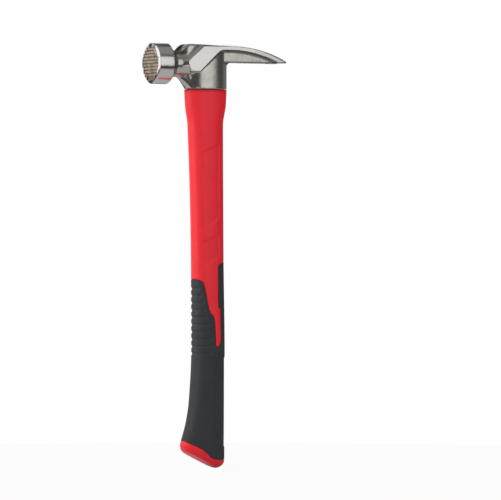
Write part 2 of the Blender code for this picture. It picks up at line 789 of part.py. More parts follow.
mouth_drop = SOCKET_HEIGHT + GAP
butt_rear_drop = drop_of(BUTT_ROUND_HEIGHT)
butt_front_drop = butt_rear_drop - BUTT_TILT_RISE
handle_front = smooth_curve([
    (mouth_drop, socket_front),
    (mouth_drop + COLLAR_DROP, -COLLAR_FRONT),
    (mouth_drop + THROAT_DROP, -THROAT_FRONT),
    (drop_of(WAIST_HEIGHT), -WAIST_FRONT),
    (drop_of(PALM_HEIGHT), -PALM_FRONT),
    (drop_of(HEEL_HEIGHT), -HEEL_FRONT),
    (drop_of(FLARE_HEIGHT), -FLARE_FRONT),
    (butt_front_drop, -BUTT_FRONT),
])
handle_rear = smooth_curve([
    (mouth_drop, socket_rear),
    (mouth_drop + COLLAR_DROP, COLLAR_REAR),
    (mouth_drop + THROAT_DROP, THROAT_REAR),
    (drop_of(WAIST_HEIGHT), WAIST_REAR),
    (drop_of(PALM_HEIGHT), PALM_REAR),
    (drop_of(HEEL_HEIGHT), HEEL_REAR),
    (butt_rear_drop, BUTT_REAR),
])
handle_half = smooth_curve([
    (mouth_drop, HANDLE_TOP_WIDTH / 2),
    (drop_of(WAIST_HEIGHT), HANDLE_TOP_WIDTH / 2),
    (drop_of(PALM_HEIGHT), HANDLE_GRIP_WIDTH / 2),
    (butt_rear_drop, HANDLE_GRIP_WIDTH / 2),
])


def handle_rings(inset):
    """Rings of the handle's outer form, moved inwards by the inset; the lower ones tilt."""
    stations = [
        (mouth_drop, mouth_drop + COLLAR_DROP, 3),
        (mouth_drop + COLLAR_DROP, mouth_drop + THROAT_DROP, 3),
        (mouth_drop + THROAT_DROP, drop_of(WAIST_HEIGHT), 3),
        (drop_of(WAIST_HEIGHT), drop_of(PALM_HEIGHT), 3),
        (drop_of(PALM_HEIGHT), drop_of(HEEL_HEIGHT), 2),
    ]
    pairs = []
    for start, end, count in stations:
        for step in range(count):
            drop = start + (end - start) * step / count
            pairs.append((drop, drop))
    heel = drop_of(HEEL_HEIGHT)
    for step in range(TILTED_RINGS + 1):
        share = step / TILTED_RINGS
        pairs.append((heel + (butt_front_drop - heel) * share, heel + (butt_rear_drop - heel) * share))
    rings = []
    for front_drop, rear_drop in pairs:
        front = (handle_front(front_drop) + inset, -front_drop)
        rear = (handle_rear(rear_drop) - inset, -rear_drop)
        rings.append(oval_ring(front, rear, handle_half(rear_drop) - inset, HANDLE_SQUARENESS))
    for step in range(1, BUTT_RINGS + 1):
        angle = math.pi / 2 * step / BUTT_RINGS
        inwards = 1 - math.cos(angle)
        down = (BUTT_ROUND_HEIGHT - inset) * math.sin(angle)
        front = (inset - BUTT_FRONT + BUTT_FRONT_ROUND * inwards, -butt_front_drop - down)
        rear = (BUTT_REAR - inset - BUTT_REAR_ROUND * inwards, -butt_rear_drop - down)
        half = HANDLE_GRIP_WIDTH / 2 - inset - BUTT_SIDE_ROUND * inwards
        rings.append(oval_ring(front, rear, half, HANDLE_SQUARENESS))
    return rings


def grip_outline():
    """Side outline of the rubber: a front and a rear tongue round the jacket's own tongue."""
    outside = BUTT_FRONT + OVERRUN
    front_top = -drop_of(GRIP_FRONT_TOP)
    rear_top = -drop_of(GRIP_REAR_TOP)
    tongue = -drop_of(TONGUE_FOOT)
    step_foot = tongue + TONGUE_STEP_RISE
    tab_side = (REAR_TAB_FRONT, rear_top - REAR_TAB_CORNER)
    tab_corner = (REAR_TAB_FRONT, rear_top)
    tab_end = (REAR_TAB_FRONT + REAR_TAB_CORNER, rear_top)
    inlet = [
        (-outside, front_top),
        *side_edge(TONGUE_FRONT_EDGE, front_top, tongue),
        (TONGUE_TIP_BACK, tongue),
        (TONGUE_BACK, tongue + TONGUE_CHAMFER),
        (TONGUE_BACK, step_foot),
        (REAR_TAB_FRONT, step_foot + TONGUE_BACK - REAR_TAB_FRONT),
        *bezier(tab_side, tab_corner, tab_end, 3),
        (outside, rear_top),
    ]
    foot_front = -drop_of(GRIP_FOOT_FRONT)
    foot_rear = -drop_of(GRIP_FOOT_REAR)
    rise_at = smooth_curve(GRIP_FOOT_EDGE)
    front, rear = GRIP_FOOT_EDGE[0][0], GRIP_FOOT_EDGE[-1][0]
    places = [rear + (front - rear) * step / EDGE_STEPS for step in range(EDGE_STEPS + 1)]
    foot = [(place, foot_rear + (foot_front - foot_rear) * rise_at(place)) for place in places]
    return inlet + [(outside, foot_rear), *foot, (-outside, foot_front)]


def make_recess(name, outline, depth):
    """A cutter for a recess of even depth: an outline across the handle, less its inset form."""
    recess = extrusion(name, outline, HANDLE_GRIP_WIDTH, SIDE_VIEW, cutters)
    return combine(recess, "DIFFERENCE", loft(name + "_floor", handle_rings(depth), cutters))


def side_panel_outlines():
    """Two panels one above the other, with a slanting band of full thickness between them."""
    panels = []
    for top, foot in ((PANEL_TOP, PANEL_BAND_TOP), (PANEL_BAND_TOP + PANEL_BAND, PANEL_FOOT)):
        panels.append([
            (-PANEL_FRONT, -mouth_drop - top),
            (PANEL_BACK, PANEL_TOP_SLANT - mouth_drop - top),
            (PANEL_BACK, PANEL_FOOT_SLANT - mouth_drop - foot),
            (-PANEL_FRONT, -mouth_drop - foot),
        ])
    return panels


def make_jacket():
    jacket = loft("handle_jacket", handle_rings(0.0), parts)
    pocket = make_recess("grip_pocket", grown(grip_outline(), GAP), GRIP_THICKNESS + GAP)
    hollow = loft("jacket_hollow", core_rings(GAP, core_foot - GAP, OVERRUN - mouth_drop), cutters)
    combine(jacket, "DIFFERENCE", hollow, pocket)
    for number, outline in enumerate(side_panel_outlines(), 1):
        combine(jacket, "DIFFERENCE", make_recess(f"side_panel_{number}", outline, PANEL_DEPTH))
    give_material(jacket, (0.72, 0.03, 0.05), 0.35)


def rib_pad_outline():
    """Side outline of the finger pad, a border's width inside the front of the grip."""
    outside = BUTT_FRONT + OVERRUN
    top = -drop_of(GRIP_FRONT_TOP) - RIB_BORDER
    foot = top - RIB_PITCH * RIB_COUNT - RIB_BORDER
    return [(-outside, top), *side_edge(PAD_BACK_EDGE, top, foot), (-outside, foot)]


def make_rib_grooves():
    """Grooves across the front of the grip, between the ribs of the finger pad."""
    top = -drop_of(GRIP_FRONT_TOP) - RIB_BORDER - RIB_PITCH / 2
    half = RIB_GROOVE_WIDTH / 2
    outside = BUTT_FRONT + OVERRUN
    outline = [(-outside, top - half), (-outside, top + half), (outside, top + half), (outside, top - half)]
    grooves = extrusion("rib_grooves", outline, HANDLE_GRIP_WIDTH, SIDE_VIEW, cutters)
    array = grooves.modifiers.new("ribs", "ARRAY")
    array.count = RIB_COUNT
    array.use_relative_offset = False
    array.use_constant_offset = True
    array.constant_offset_displace = (0, 0, -RIB_PITCH)
    array.use_merge_vertices = False
    pad = extrusion("rib_pad", rib_pad_outline(), HANDLE_GRIP_WIDTH, SIDE_VIEW, cutters)
    combine(grooves, "INTERSECT", pad)
    return combine(grooves, "DIFFERENCE", loft("rib_floor", handle_rings(RIB_GROOVE_DEPTH), cutters))


def grip_panel_outline():
    """The plain panel at the rear of the grip, below the jacket's tongue."""
    outside = BUTT_FRONT + OVERRUN
    top = -drop_of(GRIP_PANEL_TOP)
    foot = -drop_of(GRIP_PANEL_FOOT)
    return [(outside, top), *side_edge(GRIP_PANEL_EDGE, top, foot), (outside, foot)]


def make_grip():
    grip = loft("grip_sleeve", handle_rings(0.0), parts)
    outline = extrusion("grip_outline", grip_outline(), HANDLE_GRIP_WIDTH, SIDE_VIEW, cutters)
    bore = loft("grip_bore", handle_rings(GRIP_THICKNESS), cutters)
    combine(grip, "INTERSECT", outline)
    combine(grip, "DIFFERENCE", bore, make_rib_grooves())
    combine(grip, "DIFFERENCE", make_recess("grip_panel", grip_panel_outline(), GRIP_PANEL_DEPTH))
    give_material(grip, (0.035, 0.038, 0.042), 0.75)


clear_scene()
parts = new_collection("milled_face_hammer")
cutters = new_collection("cutters")
make_head()
make_magnet()
make_core()
make_resin()
make_jacket()
make_grip()
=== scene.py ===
import math

import bmesh
import bpy
from mathutils import Matrix, Vector


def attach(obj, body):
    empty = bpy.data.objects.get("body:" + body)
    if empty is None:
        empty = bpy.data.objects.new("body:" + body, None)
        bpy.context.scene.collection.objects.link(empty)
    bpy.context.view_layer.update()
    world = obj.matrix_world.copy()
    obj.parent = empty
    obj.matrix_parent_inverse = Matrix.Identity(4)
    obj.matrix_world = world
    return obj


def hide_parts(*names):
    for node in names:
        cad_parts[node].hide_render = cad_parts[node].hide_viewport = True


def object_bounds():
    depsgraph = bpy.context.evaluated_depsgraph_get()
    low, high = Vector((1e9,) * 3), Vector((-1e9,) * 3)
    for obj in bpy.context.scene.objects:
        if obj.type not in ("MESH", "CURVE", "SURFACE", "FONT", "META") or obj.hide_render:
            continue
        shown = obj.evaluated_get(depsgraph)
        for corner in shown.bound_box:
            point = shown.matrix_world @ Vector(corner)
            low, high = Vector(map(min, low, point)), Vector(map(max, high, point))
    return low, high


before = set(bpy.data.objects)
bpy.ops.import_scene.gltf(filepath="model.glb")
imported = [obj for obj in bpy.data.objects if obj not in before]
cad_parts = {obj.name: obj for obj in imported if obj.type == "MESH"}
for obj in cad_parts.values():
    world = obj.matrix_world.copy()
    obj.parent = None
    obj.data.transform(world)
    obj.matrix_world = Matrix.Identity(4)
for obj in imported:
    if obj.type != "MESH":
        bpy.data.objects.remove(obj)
scene = bpy.context.scene
cad_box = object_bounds()

# Head forging
# The head is one steel forging: milled poll, round neck, gusset, shoulder with a nail seat,
# two ground cheeks, an arched rip claw and the oval socket that stands on the handle. It is
# forged, blasted, ground bright on the cheeks and the poll, and its edges are tumbled round.
EDGE_VOXEL = 0.00047
TUMBLE_PASSES = 3
OVERRUN = 0.004
HAIR = 0.0003

SOCKET_HEIGHT = 0.0427
SOCKET_DEPTH = 0.0428
SOCKET_WIDTH = 0.0230
SOCKET_FORWARD = 0.0011
SOCKET_SQUARENESS = 2.5
EYE_SIDE_WALL = 0.0040
EYE_END_WALL = 0.0044
EYE_TAPER = 0.0015
EYE_SQUARENESS = 2.6

FACE_DIAMETER = 0.0392
FACE_REACH = 0.0601
POLL_AXIS_DROP = 0.0188
POLL_LENGTH = 0.0165
POLL_TAPER_LENGTH = 0.0061
RIM_CHAMFER_WIDTH = 0.0030
RIM_PULL = (0.0014, 0.0004)
RIM_CORNER = (0.0193, -0.0014)
RIM_CORNER_PULL = 0.0002
RIM_CORNER_END = 0.0006
POLL_BACK_ROUND = 0.0004
NECK_DIAMETER = 0.0256
NECK_FILLET = 0.0030
NECK_SKIN = 0.00003

NAIL_GROOVE_WIDTH = 0.0062
NAIL_GROOVE_FLOOR_WIDTH = 0.0047
NAIL_GROOVE_DEPTH = 0.0036
NAIL_SEAT_WIDTH = 0.0092
NAIL_SEAT_DEPTH = 0.0064
NAIL_SEAT_WALL = 0.0034
MAGNET_DIAMETER = 0.0060
MAGNET_THICKNESS = 0.0025

GUSSET_REACH = 0.0115
GUSSET_LEAN = 0.0077
GUSSET_TOP_WIDTH = 0.0054
GUSSET_FOOT_WIDTH = 0.0212
GUSSET_SQUARENESS = 2.2
SHOULDER_SLOPE = 0.0120
SHOULDER_WIDTH = 0.0208
SHOULDER_CORNER = 0.0026
SHOULDER_FOOT_WIDTH = 0.0106
SHOULDER_FOOT_CORNER = 0.0046

CHEEK_RISE = 0.0032
CHEEK_TOP_FRONT = 0.0089
CHEEK_FACET_FRONT = 0.0165
CHEEK_NOSE_FRONT = 0.0264
CHEEK_NOSE_DROP = 0.0169
CHEEK_CHIN_DROP = 0.0269
CHEEK_CHIN_FRONT = 0.0219
CHEEK_CHIN_BACK = 0.0128
CHEEK_HEEL_BACK = 0.0093
CHEEK_NOSE_LEAN = (0.0005, 0.0019)
CHEEK_JAW_PULL = (0.0015, 0.0010)
CHEEK_FLARE_START = -0.0335
CHEEK_FLARE_END = -0.0262
CHEEK_FLARE_HALF_HEIGHT = 0.0100
CHEEK_FLARE_CLOSING = 0.0022
CHEEK_FLARE_POWER = 1.2
HEEL_ROUND = 0.0040
FACET_SPREAD = 0.0015
TOP_BEVEL = 0.0024
TOP_EDGE_ROUND = 0.0001
TOP_CROWN_FLAT = 0.0010
TOP_CROWN_FALL = 0.93
TOP_CROWN_POWER = 1.2
LOWER_EDGE_ROUND = 0.0012
LOWER_EDGE_MIDWAY = 0.45
LOWER_EDGE_SHIFT = 0.4

CLAW_REACH = 0.0803
CLAW_START = 0.0200
CLAW_ARCH_RADIUS = 0.1200
CLAW_EDGE_THICKNESS = 0.0062
CLAW_TIP_THICKNESS = 0.0011
CLAW_TIP_BEVEL = 0.0003
CLAW_TIP_NARROWING = 0.0004
CLAW_TIP_CORNER = 0.0030
CLAW_TIP_SHARPNESS = 0.85
WEB_RECESS = 0.0052
WEB_TOP_FILLET = 0.0021
WEB_EDGE_ROUND = 0.0012
WEB_ROOT_FILLET = 0.0050
NOTCH_LENGTH = 0.0340
NOTCH_MOUTH_WIDTH = 0.0092
NOTCH_ROOT_RADIUS = 0.0013
NOTCH_LIP = 0.0011

socket_front = -SOCKET_FORWARD - SOCKET_DEPTH / 2
socket_rear = socket_front + SOCKET_DEPTH
socket_half = SOCKET_WIDTH / 2
neck_radius = NECK_DIAMETER / 2
neck_top = neck_radius - POLL_AXIS_DROP
neck_bottom = -neck_radius - POLL_AXIS_DROP
poll_top = FACE_DIAMETER / 2 - POLL_AXIS_DROP
poll_back = POLL_LENGTH + POLL_TAPER_LENGTH - FACE_REACH
cheek_half = socket_half + CHEEK_RISE
web_half = cheek_half - WEB_RECESS
nail_seat_back = socket_front + EYE_END_WALL - EYE_TAPER - NAIL_SEAT_WALL
magnet_place = nail_seat_back - NAIL_SEAT_WIDTH / 2

# The striking face's own frame: its Z axis points out of the face
face_frame = Matrix.Translation((-FACE_REACH, 0, -POLL_AXIS_DROP)) @ Matrix.Rotation(-math.pi / 2, 4, "Y")


def arc(centre, radius, start, end, steps):
    """Points on an arc from one angle to another, in degrees."""
    x, y = centre
    angles = [math.radians(start + (end - start) * step / steps) for step in range(steps + 1)]
    return [(x + radius * math.cos(angle), y + radius * math.sin(angle)) for angle in angles]


def bezier(start, control, end, steps):
    """Points on a curve with one control point."""
    points = []
    for step in range(steps + 1):
        share = step / steps
        near, middle, far = (1 - share) ** 2, 2 * share * (1 - share), share * share
        points.append(tuple(near * a + middle * b + far * c for a, b, c in zip(start, control, end)))
    return points


def between(start, end, share):
    """The point at a share of the way from one point to another."""
    return tuple(a + (b - a) * share for a, b in zip(start, end))


def oval_ring(front, rear, half_width, squareness, points=128):
    """A superellipse whose long axis runs from one (X, Z) point to another, wide along Y."""
    middle = between(front, rear, 0.5)
    reach = ((rear[0] - front[0]) / 2, (rear[1] - front[1]) / 2)
    ring = []
    for step in range(points):
        angle = 2 * math.pi * step / points
        along = math.copysign(abs(math.cos(angle)) ** (2 / squareness), math.cos(angle))
        across = math.copysign(abs(math.sin(angle)) ** (2 / squareness), math.sin(angle))
        ring.append((middle[0] + reach[0] * along, half_width * across, middle[1] + reach[1] * along))
    return ring


def block_ring(place, half_width, top, bottom, corner):
    """A rectangle with round corners in the YZ plane at X = place."""
    right, high, low = half_width - corner, top - corner, bottom + corner
    ring = []
    for quarter, centre in enumerate(((right, high), (-right, high), (-right, low), (right, low))):
        ring += [(place, y, z) for y, z in arc(centre, corner, 90 * quarter, 90 * quarter + 90, 10)]
    return ring


def object_from(name, shell):
    """An object made from a closed bmesh shell, its faces turned outwards."""
    bmesh.ops.recalc_face_normals(shell, faces=shell.faces)
    mesh = bpy.data.meshes.new(name)
    shell.to_mesh(mesh)
    shell.free()
    thing = bpy.data.objects.new(name, mesh)
    scene.collection.objects.link(thing)
    return thing


def loft(name, rings):
    """A closed solid through rings that have the same number of points."""
    shell = bmesh.new()
    loops = [[shell.verts.new(point) for point in ring] for ring in rings]
    for lower, upper in zip(loops, loops[1:]):
        for index in range(len(lower)):
            shell.faces.new((lower[index - 1], lower[index], upper[index], upper[index - 1]))
    shell.faces.new(loops[0])
    shell.faces.new(loops[-1])
    return object_from(name, shell)


def slab(name, outline, half_thickness, view="side"):
    """A flat outline given thickness, drawn in side view as (X, Z) or in plan as (X, Y)."""
    rings = []
    for depth in (-half_thickness, half_thickness):
        rings.append([(a, depth, b) if view == "side" else (a, b, depth) for a, b in outline])
    return loft(name, rings)


def turned(name, profile, steps=160):
    """A profile of (radius, height) points turned round the face's own axis."""
    angles = [2 * math.pi * step / steps for step in range(steps)]
    rings = []
    for radius, height in profile:
        ring = [(radius * math.cos(angle), radius * math.sin(angle), height) for angle in angles]
        rings.append([face_frame @ Vector(point) for point in ring])
    return loft(name, rings)


def combine(target, operation, *others, solver="MANIFOLD"):
    """Boolean modifiers on the target, one for each of the other solids."""
    for other in others:
        boolean = target.modifiers.new(operation + "_" + other.name, "BOOLEAN")
        boolean.operation = operation
        boolean.solver = solver
        boolean.object = other
    return target


def settle(thing, *spent):
    """Applies the object's modifiers by baking its evaluated mesh, and removes the spent tools."""
    bpy.context.view_layer.update()
    baked = bpy.data.meshes.new_from_object(thing.evaluated_get(bpy.context.evaluated_depsgraph_get()))
    baked.name = thing.name
    thing.modifiers.clear()
    thing.data = baked
    for tool in spent:
        bpy.data.objects.remove(tool)
    return thing


def claw_top(place):
    """Height of the claw's arched top at X = place."""
    return math.sqrt(CLAW_ARCH_RADIUS**2 - max(place - CLAW_START, 0.0) ** 2) - CLAW_ARCH_RADIUS


claw_floor = claw_top(CLAW_REACH) - CLAW_TIP_THICKNESS


def claw_stations(start, count):
    """Evenly spaced places along X from the start to the claw's tip."""
    return [start + (CLAW_REACH - start) * step / count for step in range(count + 1)]


def cheek_and_claw_outline(front_share, bevel_share, rise):
    """Side outline of the cheeks and claw plate, its front, top and lower edges moved in."""
    nose = (-CHEEK_NOSE_FRONT, -CHEEK_NOSE_DROP)
    inner_nose = (nose[0] - CHEEK_NOSE_LEAN[0], nose[1] + CHEEK_NOSE_LEAN[1])
    top_front = (-CHEEK_TOP_FRONT, -TOP_BEVEL * bevel_share)
    points = [between((-CHEEK_FACET_FRONT, 0.0), top_front, front_share)]
    points.append(between(inner_nose, nose, front_share))
    chin = (-CHEEK_CHIN_FRONT, rise - CHEEK_CHIN_DROP)
    points += bezier(points[-1], (nose[0] + CHEEK_JAW_PULL[0], chin[1] + CHEEK_JAW_PULL[1]), chin, 8)[1:]
    chin_back = (-CHEEK_CHIN_BACK - LOWER_EDGE_SHIFT * rise, rise - CHEEK_CHIN_DROP)
    points.append(chin_back)
    heel = (CHEEK_HEEL_BACK - LOWER_EDGE_SHIFT * rise, rise - CLAW_EDGE_THICKNESS)
    past_heel = (heel[0] + HEEL_ROUND, heel[1])
    points += bezier(between(heel, chin_back, HEEL_ROUND / math.dist(heel, chin_back)), heel, past_heel, 8)
    stations = [(place, step / 60) for step, place in enumerate(claw_stations(CLAW_START, 60))]
    points += [(place, max(claw_top(place) - CLAW_EDGE_THICKNESS, claw_floor)
                + rise * (1 - CLAW_TIP_SHARPNESS * share)) for place, share in stations]
    points += [(place, claw_top(place) - bevel_share * (TOP_BEVEL + (CLAW_TIP_BEVEL - TOP_BEVEL) * share))
               for place, share in reversed(stations)]
    return points


def cheeks_and_claw_plate():
    """Layers from cheek to cheek: front facets at both sides and a crowned top between them."""
    edge = cheek_half - TOP_EDGE_ROUND
    layers = [(-cheek_half, 1.0, 1.0, LOWER_EDGE_ROUND)]
    for step in range(9):
        across = edge + (TOP_CROWN_FLAT - edge) * step / 8
        facet = max(1 - (cheek_half - across) / (FACET_SPREAD + TOP_BEVEL), 0.0)
        rise = LOWER_EDGE_MIDWAY * LOWER_EDGE_ROUND if step == 0 else 0.0
        layers.append((-across, facet, TOP_CROWN_FALL * (1 - step / 8) ** TOP_CROWN_POWER, rise))
    layers += [(-across, *edges) for across, *edges in reversed(layers)]
    rings = [[(x, across, z) for x, z in cheek_and_claw_outline(*edges)] for across, *edges in layers]
    return loft("cheeks_and_claw_plate", rings)


def cheek_flare():
    """Oval rings that flare the neck's sides out into the front of the cheeks."""
    rings = []
    for step in range(14):
        share = min(step / 12, 1.0)
        place = CHEEK_FLARE_START + (CHEEK_FLARE_END - CHEEK_FLARE_START) * step / 12
        half_height = CHEEK_FLARE_HALF_HEIGHT - CHEEK_FLARE_CLOSING * share
        half = neck_radius - HAIR / 4 + (cheek_half - neck_radius) * share**CHEEK_FLARE_POWER
        top, low = (place, half_height - POLL_AXIS_DROP), (place, -half_height - POLL_AXIS_DROP)
        rings.append(oval_ring(top, low, half, 2.0))
    return loft("cheek_flare", rings)


def claw_web():
    """Sections along the web, with round lower edges and a fillet under the claw plate."""
    wide = web_half + WEB_TOP_FILLET
    side_foot = claw_floor + WEB_EDGE_ROUND
    foot = arc((web_half - WEB_EDGE_ROUND, side_foot), WEB_EDGE_ROUND, -90, 0, 5)
    rings = []
    for place in claw_stations(-SOCKET_FORWARD, 80):
        under = claw_top(place) - CLAW_EDGE_THICKNESS
        if under < side_foot + HAIR:
            break
        cove = arc((wide, under - WEB_TOP_FILLET), WEB_TOP_FILLET, 180, 90, 8)
        cove = [(y, max(z, side_foot + HAIR / 9 * (step + 1))) for step, (y, z) in enumerate(cove)]
        side = [*foot, *cove, (wide, under + CLAW_EDGE_THICKNESS / 2)]
        rings.append([(place, y, z) for y, z in side] + [(place, -y, z) for y, z in reversed(side)])
    return loft("claw_web", rings)


def claw_root():
    """Rings that fillet the web's underside into the back of the socket."""
    front = socket_front + HAIR
    centre = (socket_rear + WEB_ROOT_FILLET, claw_floor - WEB_ROOT_FILLET)
    rings = []
    for place, height in arc(centre, WEB_ROOT_FILLET, 180, 90, 16):
        half = socket_half + (web_half - socket_half) * (place - socket_rear) / WEB_ROOT_FILLET - HAIR
        rings.append(oval_ring((front, height), (place - HAIR, height), half, SOCKET_SQUARENESS))
    buried = claw_floor / 2
    rings.append(oval_ring((front, buried), (socket_rear, buried), web_half - HAIR, SOCKET_SQUARENESS))
    return loft("claw_root", rings)


def forged_neck():
    ends = (-POLL_LENGTH, CHEEK_CHIN_BACK + HAIR - FACE_REACH)
    return turned("forged_neck", [(neck_radius, height) for height in ends])


def turned_poll():
    """The machined end of the head: round rim, barrel, taper and the fillet that meets the neck."""
    radius = FACE_DIAMETER / 2
    foot = -POLL_LENGTH - POLL_TAPER_LENGTH
    angle = math.atan2(radius - neck_radius, POLL_TAPER_LENGTH)
    tangent = NECK_FILLET * math.tan(angle / 2)
    fillet_start = (neck_radius + tangent * math.sin(angle), foot + tangent * math.cos(angle))
    corner = RIM_CORNER[1]
    rim = bezier((radius - RIM_CHAMFER_WIDTH, 0.0), (radius - RIM_PULL[0], -RIM_PULL[1]), RIM_CORNER, 8)
    rim += bezier(RIM_CORNER, (radius, corner - RIM_CORNER_PULL), (radius, corner - RIM_CORNER_END), 6)[1:]
    barrel = [(radius, -POLL_LENGTH * step / 6) for step in range(2, 6)]
    edge = (radius, -POLL_LENGTH)
    past_edge = between(edge, (neck_radius, foot), 0.05)
    back = bezier((radius, POLL_BACK_ROUND - POLL_LENGTH), edge, past_edge, 4)
    fillet = bezier(fillet_start, (neck_radius, foot), (neck_radius + NECK_SKIN, foot - tangent), 12)
    inside = [(neck_radius - HAIR, foot - tangent)]
    return turned("turned_poll", rim + barrel + back + fillet + inside, 192)


def gusset():
    """Rings whose fronts follow a curve from the neck's underside to the socket's mouth."""
    start = (socket_front - GUSSET_REACH, neck_bottom + HAIR)
    control = (socket_front - GUSSET_LEAN, neck_bottom + HAIR)
    end = (socket_front + HAIR, -SOCKET_HEIGHT)
    rings = []
    for front in [(start[0], (neck_bottom - POLL_AXIS_DROP) / 2), *bezier(start, control, end, 24)]:
        share = max((start[1] - front[1]) / (start[1] - end[1]), 0.0) ** 0.5
        half = (GUSSET_TOP_WIDTH + (GUSSET_FOOT_WIDTH - GUSSET_TOP_WIDTH) * share) / 2
        rings.append(oval_ring(front, (-SOCKET_FORWARD, front[1]), half, GUSSET_SQUARENESS))
    return loft("gusset", rings)


def shoulder():
    """Block rings from inside the neck's top back to the cheeks, with a sloping front."""
    rings = []
    for step in range(16):
        share = step / 16
        rise = share * share * (3 - 2 * share)
        half = (SHOULDER_FOOT_WIDTH + (SHOULDER_WIDTH - SHOULDER_FOOT_WIDTH) * share * (2 - share)) / 2
        corner = SHOULDER_FOOT_CORNER + (SHOULDER_CORNER - SHOULDER_FOOT_CORNER) * share
        place = socket_front - SHOULDER_SLOPE * (1 - share)
        rings.append(block_ring(place, half, (neck_top - HAIR) * (1 - rise), -POLL_AXIS_DROP, corner))
    for place, top in ((socket_front, 0.0), (-CHEEK_TOP_FRONT, 0.0), (0.0, -TOP_BEVEL / 2)):
        rings.append(block_ring(place, SHOULDER_WIDTH / 2, top, -POLL_AXIS_DROP, SHOULDER_CORNER))
    return loft("shoulder", rings)


def claw_plan():
    """Plan outline that trims the head: the claw narrows to its tips, which have round corners."""
    tip_half = cheek_half - CLAW_TIP_NARROWING
    centre = (CLAW_REACH - CLAW_TIP_CORNER, tip_half - CLAW_TIP_CORNER)
    side = [(-FACE_REACH - OVERRUN, FACE_DIAMETER), (CLAW_START, cheek_half + OVERRUN),
            (CLAW_START, cheek_half + HAIR), *reversed(arc(centre, CLAW_TIP_CORNER, 0, 90, 12))]
    outline = side + [(x, -y) for x, y in reversed(side)]
    return slab("claw_plan", outline, SOCKET_HEIGHT + FACE_DIAMETER, "plan")


def notch_half_width(place):
    root = CLAW_REACH - NOTCH_LENGTH + NOTCH_ROOT_RADIUS
    widening = NOTCH_MOUTH_WIDTH / 2 - NOTCH_ROOT_RADIUS
    return NOTCH_ROOT_RADIUS + widening * (place - root) / (CLAW_REACH - root)


def claw_notch():
    past = CLAW_REACH + OVERRUN
    half = notch_half_width(past)
    root = arc((CLAW_REACH - NOTCH_LENGTH + NOTCH_ROOT_RADIUS, 0), NOTCH_ROOT_RADIUS, 90, 270, 15)
    return slab("claw_notch", [(past, half), *root, (past, -half)], SOCKET_HEIGHT, "plan")


def notch_lip():
    """A three-sided trough along the arched top that bevels both edges of the notch."""
    rings = []
    for place in claw_stations(CLAW_REACH - NOTCH_LENGTH - NOTCH_LIP, 40) + [CLAW_REACH + OVERRUN]:
        half = notch_half_width(place) + NOTCH_LIP
        top = claw_top(place)
        section = ((-half - OVERRUN, top + OVERRUN), (half + OVERRUN, top + OVERRUN), (0.0, top - half))
        rings.append([(place, y, z) for y, z in section])
    return loft("notch_lip", rings)


def eye_ring(inset, height):
    """A ring of the tapered eye at a height, moved inwards by the inset."""
    widening = EYE_TAPER * (height + SOCKET_HEIGHT) / SOCKET_HEIGHT - inset
    front, rear = socket_front + EYE_END_WALL - widening, socket_rear - EYE_END_WALL + widening
    half = socket_half - EYE_SIDE_WALL + widening
    return oval_ring((front, height), (rear, height), half, EYE_SQUARENESS)


def nail_groove():
    """A trough along the poll's top whose sides lean apart."""
    floor, high = poll_top - NAIL_GROOVE_DEPTH, poll_top + OVERRUN
    low_half = NAIL_GROOVE_FLOOR_WIDTH / 2
    lean = NAIL_GROOVE_WIDTH / 2 - low_half
    high_half = low_half + lean * (NAIL_GROOVE_DEPTH + OVERRUN) / NAIL_GROOVE_DEPTH
    section = ((-high_half, high), (high_half, high), (low_half, floor), (-low_half, floor))
    ends = (-FACE_REACH - OVERRUN, poll_back)
    return loft("nail_groove", [[(place, y, z) for y, z in section] for place in ends])


def nail_seat():
    half = NAIL_SEAT_WIDTH / 2
    front = poll_back - HAIR
    outline = [(front, -half), *arc((magnet_place, 0), half, -90, 90, 24), (front, half)]
    return slab("nail_seat", outline, NAIL_SEAT_DEPTH, "plan")


def round_ring(radius, height, points=96):
    """A level ring round the magnet's axis."""
    circle = arc((0, 0), radius, 0, 360 * (points - 1) / points, points - 1)
    return [(magnet_place + x, y, height) for x, y in circle]


def magnet_hole():
    radius = MAGNET_DIAMETER / 2 + HAIR
    floor = -NAIL_SEAT_DEPTH - MAGNET_THICKNESS - HAIR
    return loft("magnet_hole", [round_ring(radius, height) for height in (floor, OVERRUN)])


def soften(thing, voxel, passes):
    """Remeshes a forged or moulded piece and smooths it, so that its edges get small radii."""
    remeshed = thing.modifiers.new("even_surface", "REMESH")
    remeshed.mode = "VOXEL"
    remeshed.voxel_size = voxel
    smoothed = thing.modifiers.new("soft_edges", "SMOOTH")
    smoothed.factor = 0.5
    smoothed.iterations = passes
    return thing


socket_rings = [oval_ring((socket_front, z), (socket_rear, z), socket_half, SOCKET_SQUARENESS)
                for z in (-SOCKET_HEIGHT, -TOP_BEVEL / 2)]
head = loft("head_forging", socket_rings)
added = [forged_neck(), cheek_flare(), gusset(), shoulder(), cheeks_and_claw_plate(), claw_web(),
         claw_root()]
trimmed = claw_plan()
eye = loft("eye", [eye_ring(0.0, -SOCKET_HEIGHT - OVERRUN), eye_ring(0.0, OVERRUN)])
removed = [eye, claw_notch(), notch_lip(), nail_seat(), magnet_hole()]
combine(head, "UNION", *added)
combine(head, "INTERSECT", trimmed)
combine(head, "DIFFERENCE", *removed)
settle(soften(head, EDGE_VOXEL, TUMBLE_PASSES), *added, trimmed, *removed)

# The poll is turned, grooved and milled after the forging, so its edges stay crisp
MILLING_PITCH = 0.0031
MILLING_DEPTH = 0.0012
MILLING_REACH = 0.0161
MILLING_RAISE = 0.0010
MILLED_SKIN = 0.0006


def face_slab(name, outline, *heights):
    """An outline in the face's own plane, drawn as (up, across), given thickness."""
    rings = [[face_frame @ Vector((up, across, height)) for up, across in outline] for height in heights]
    return loft(name, rings)


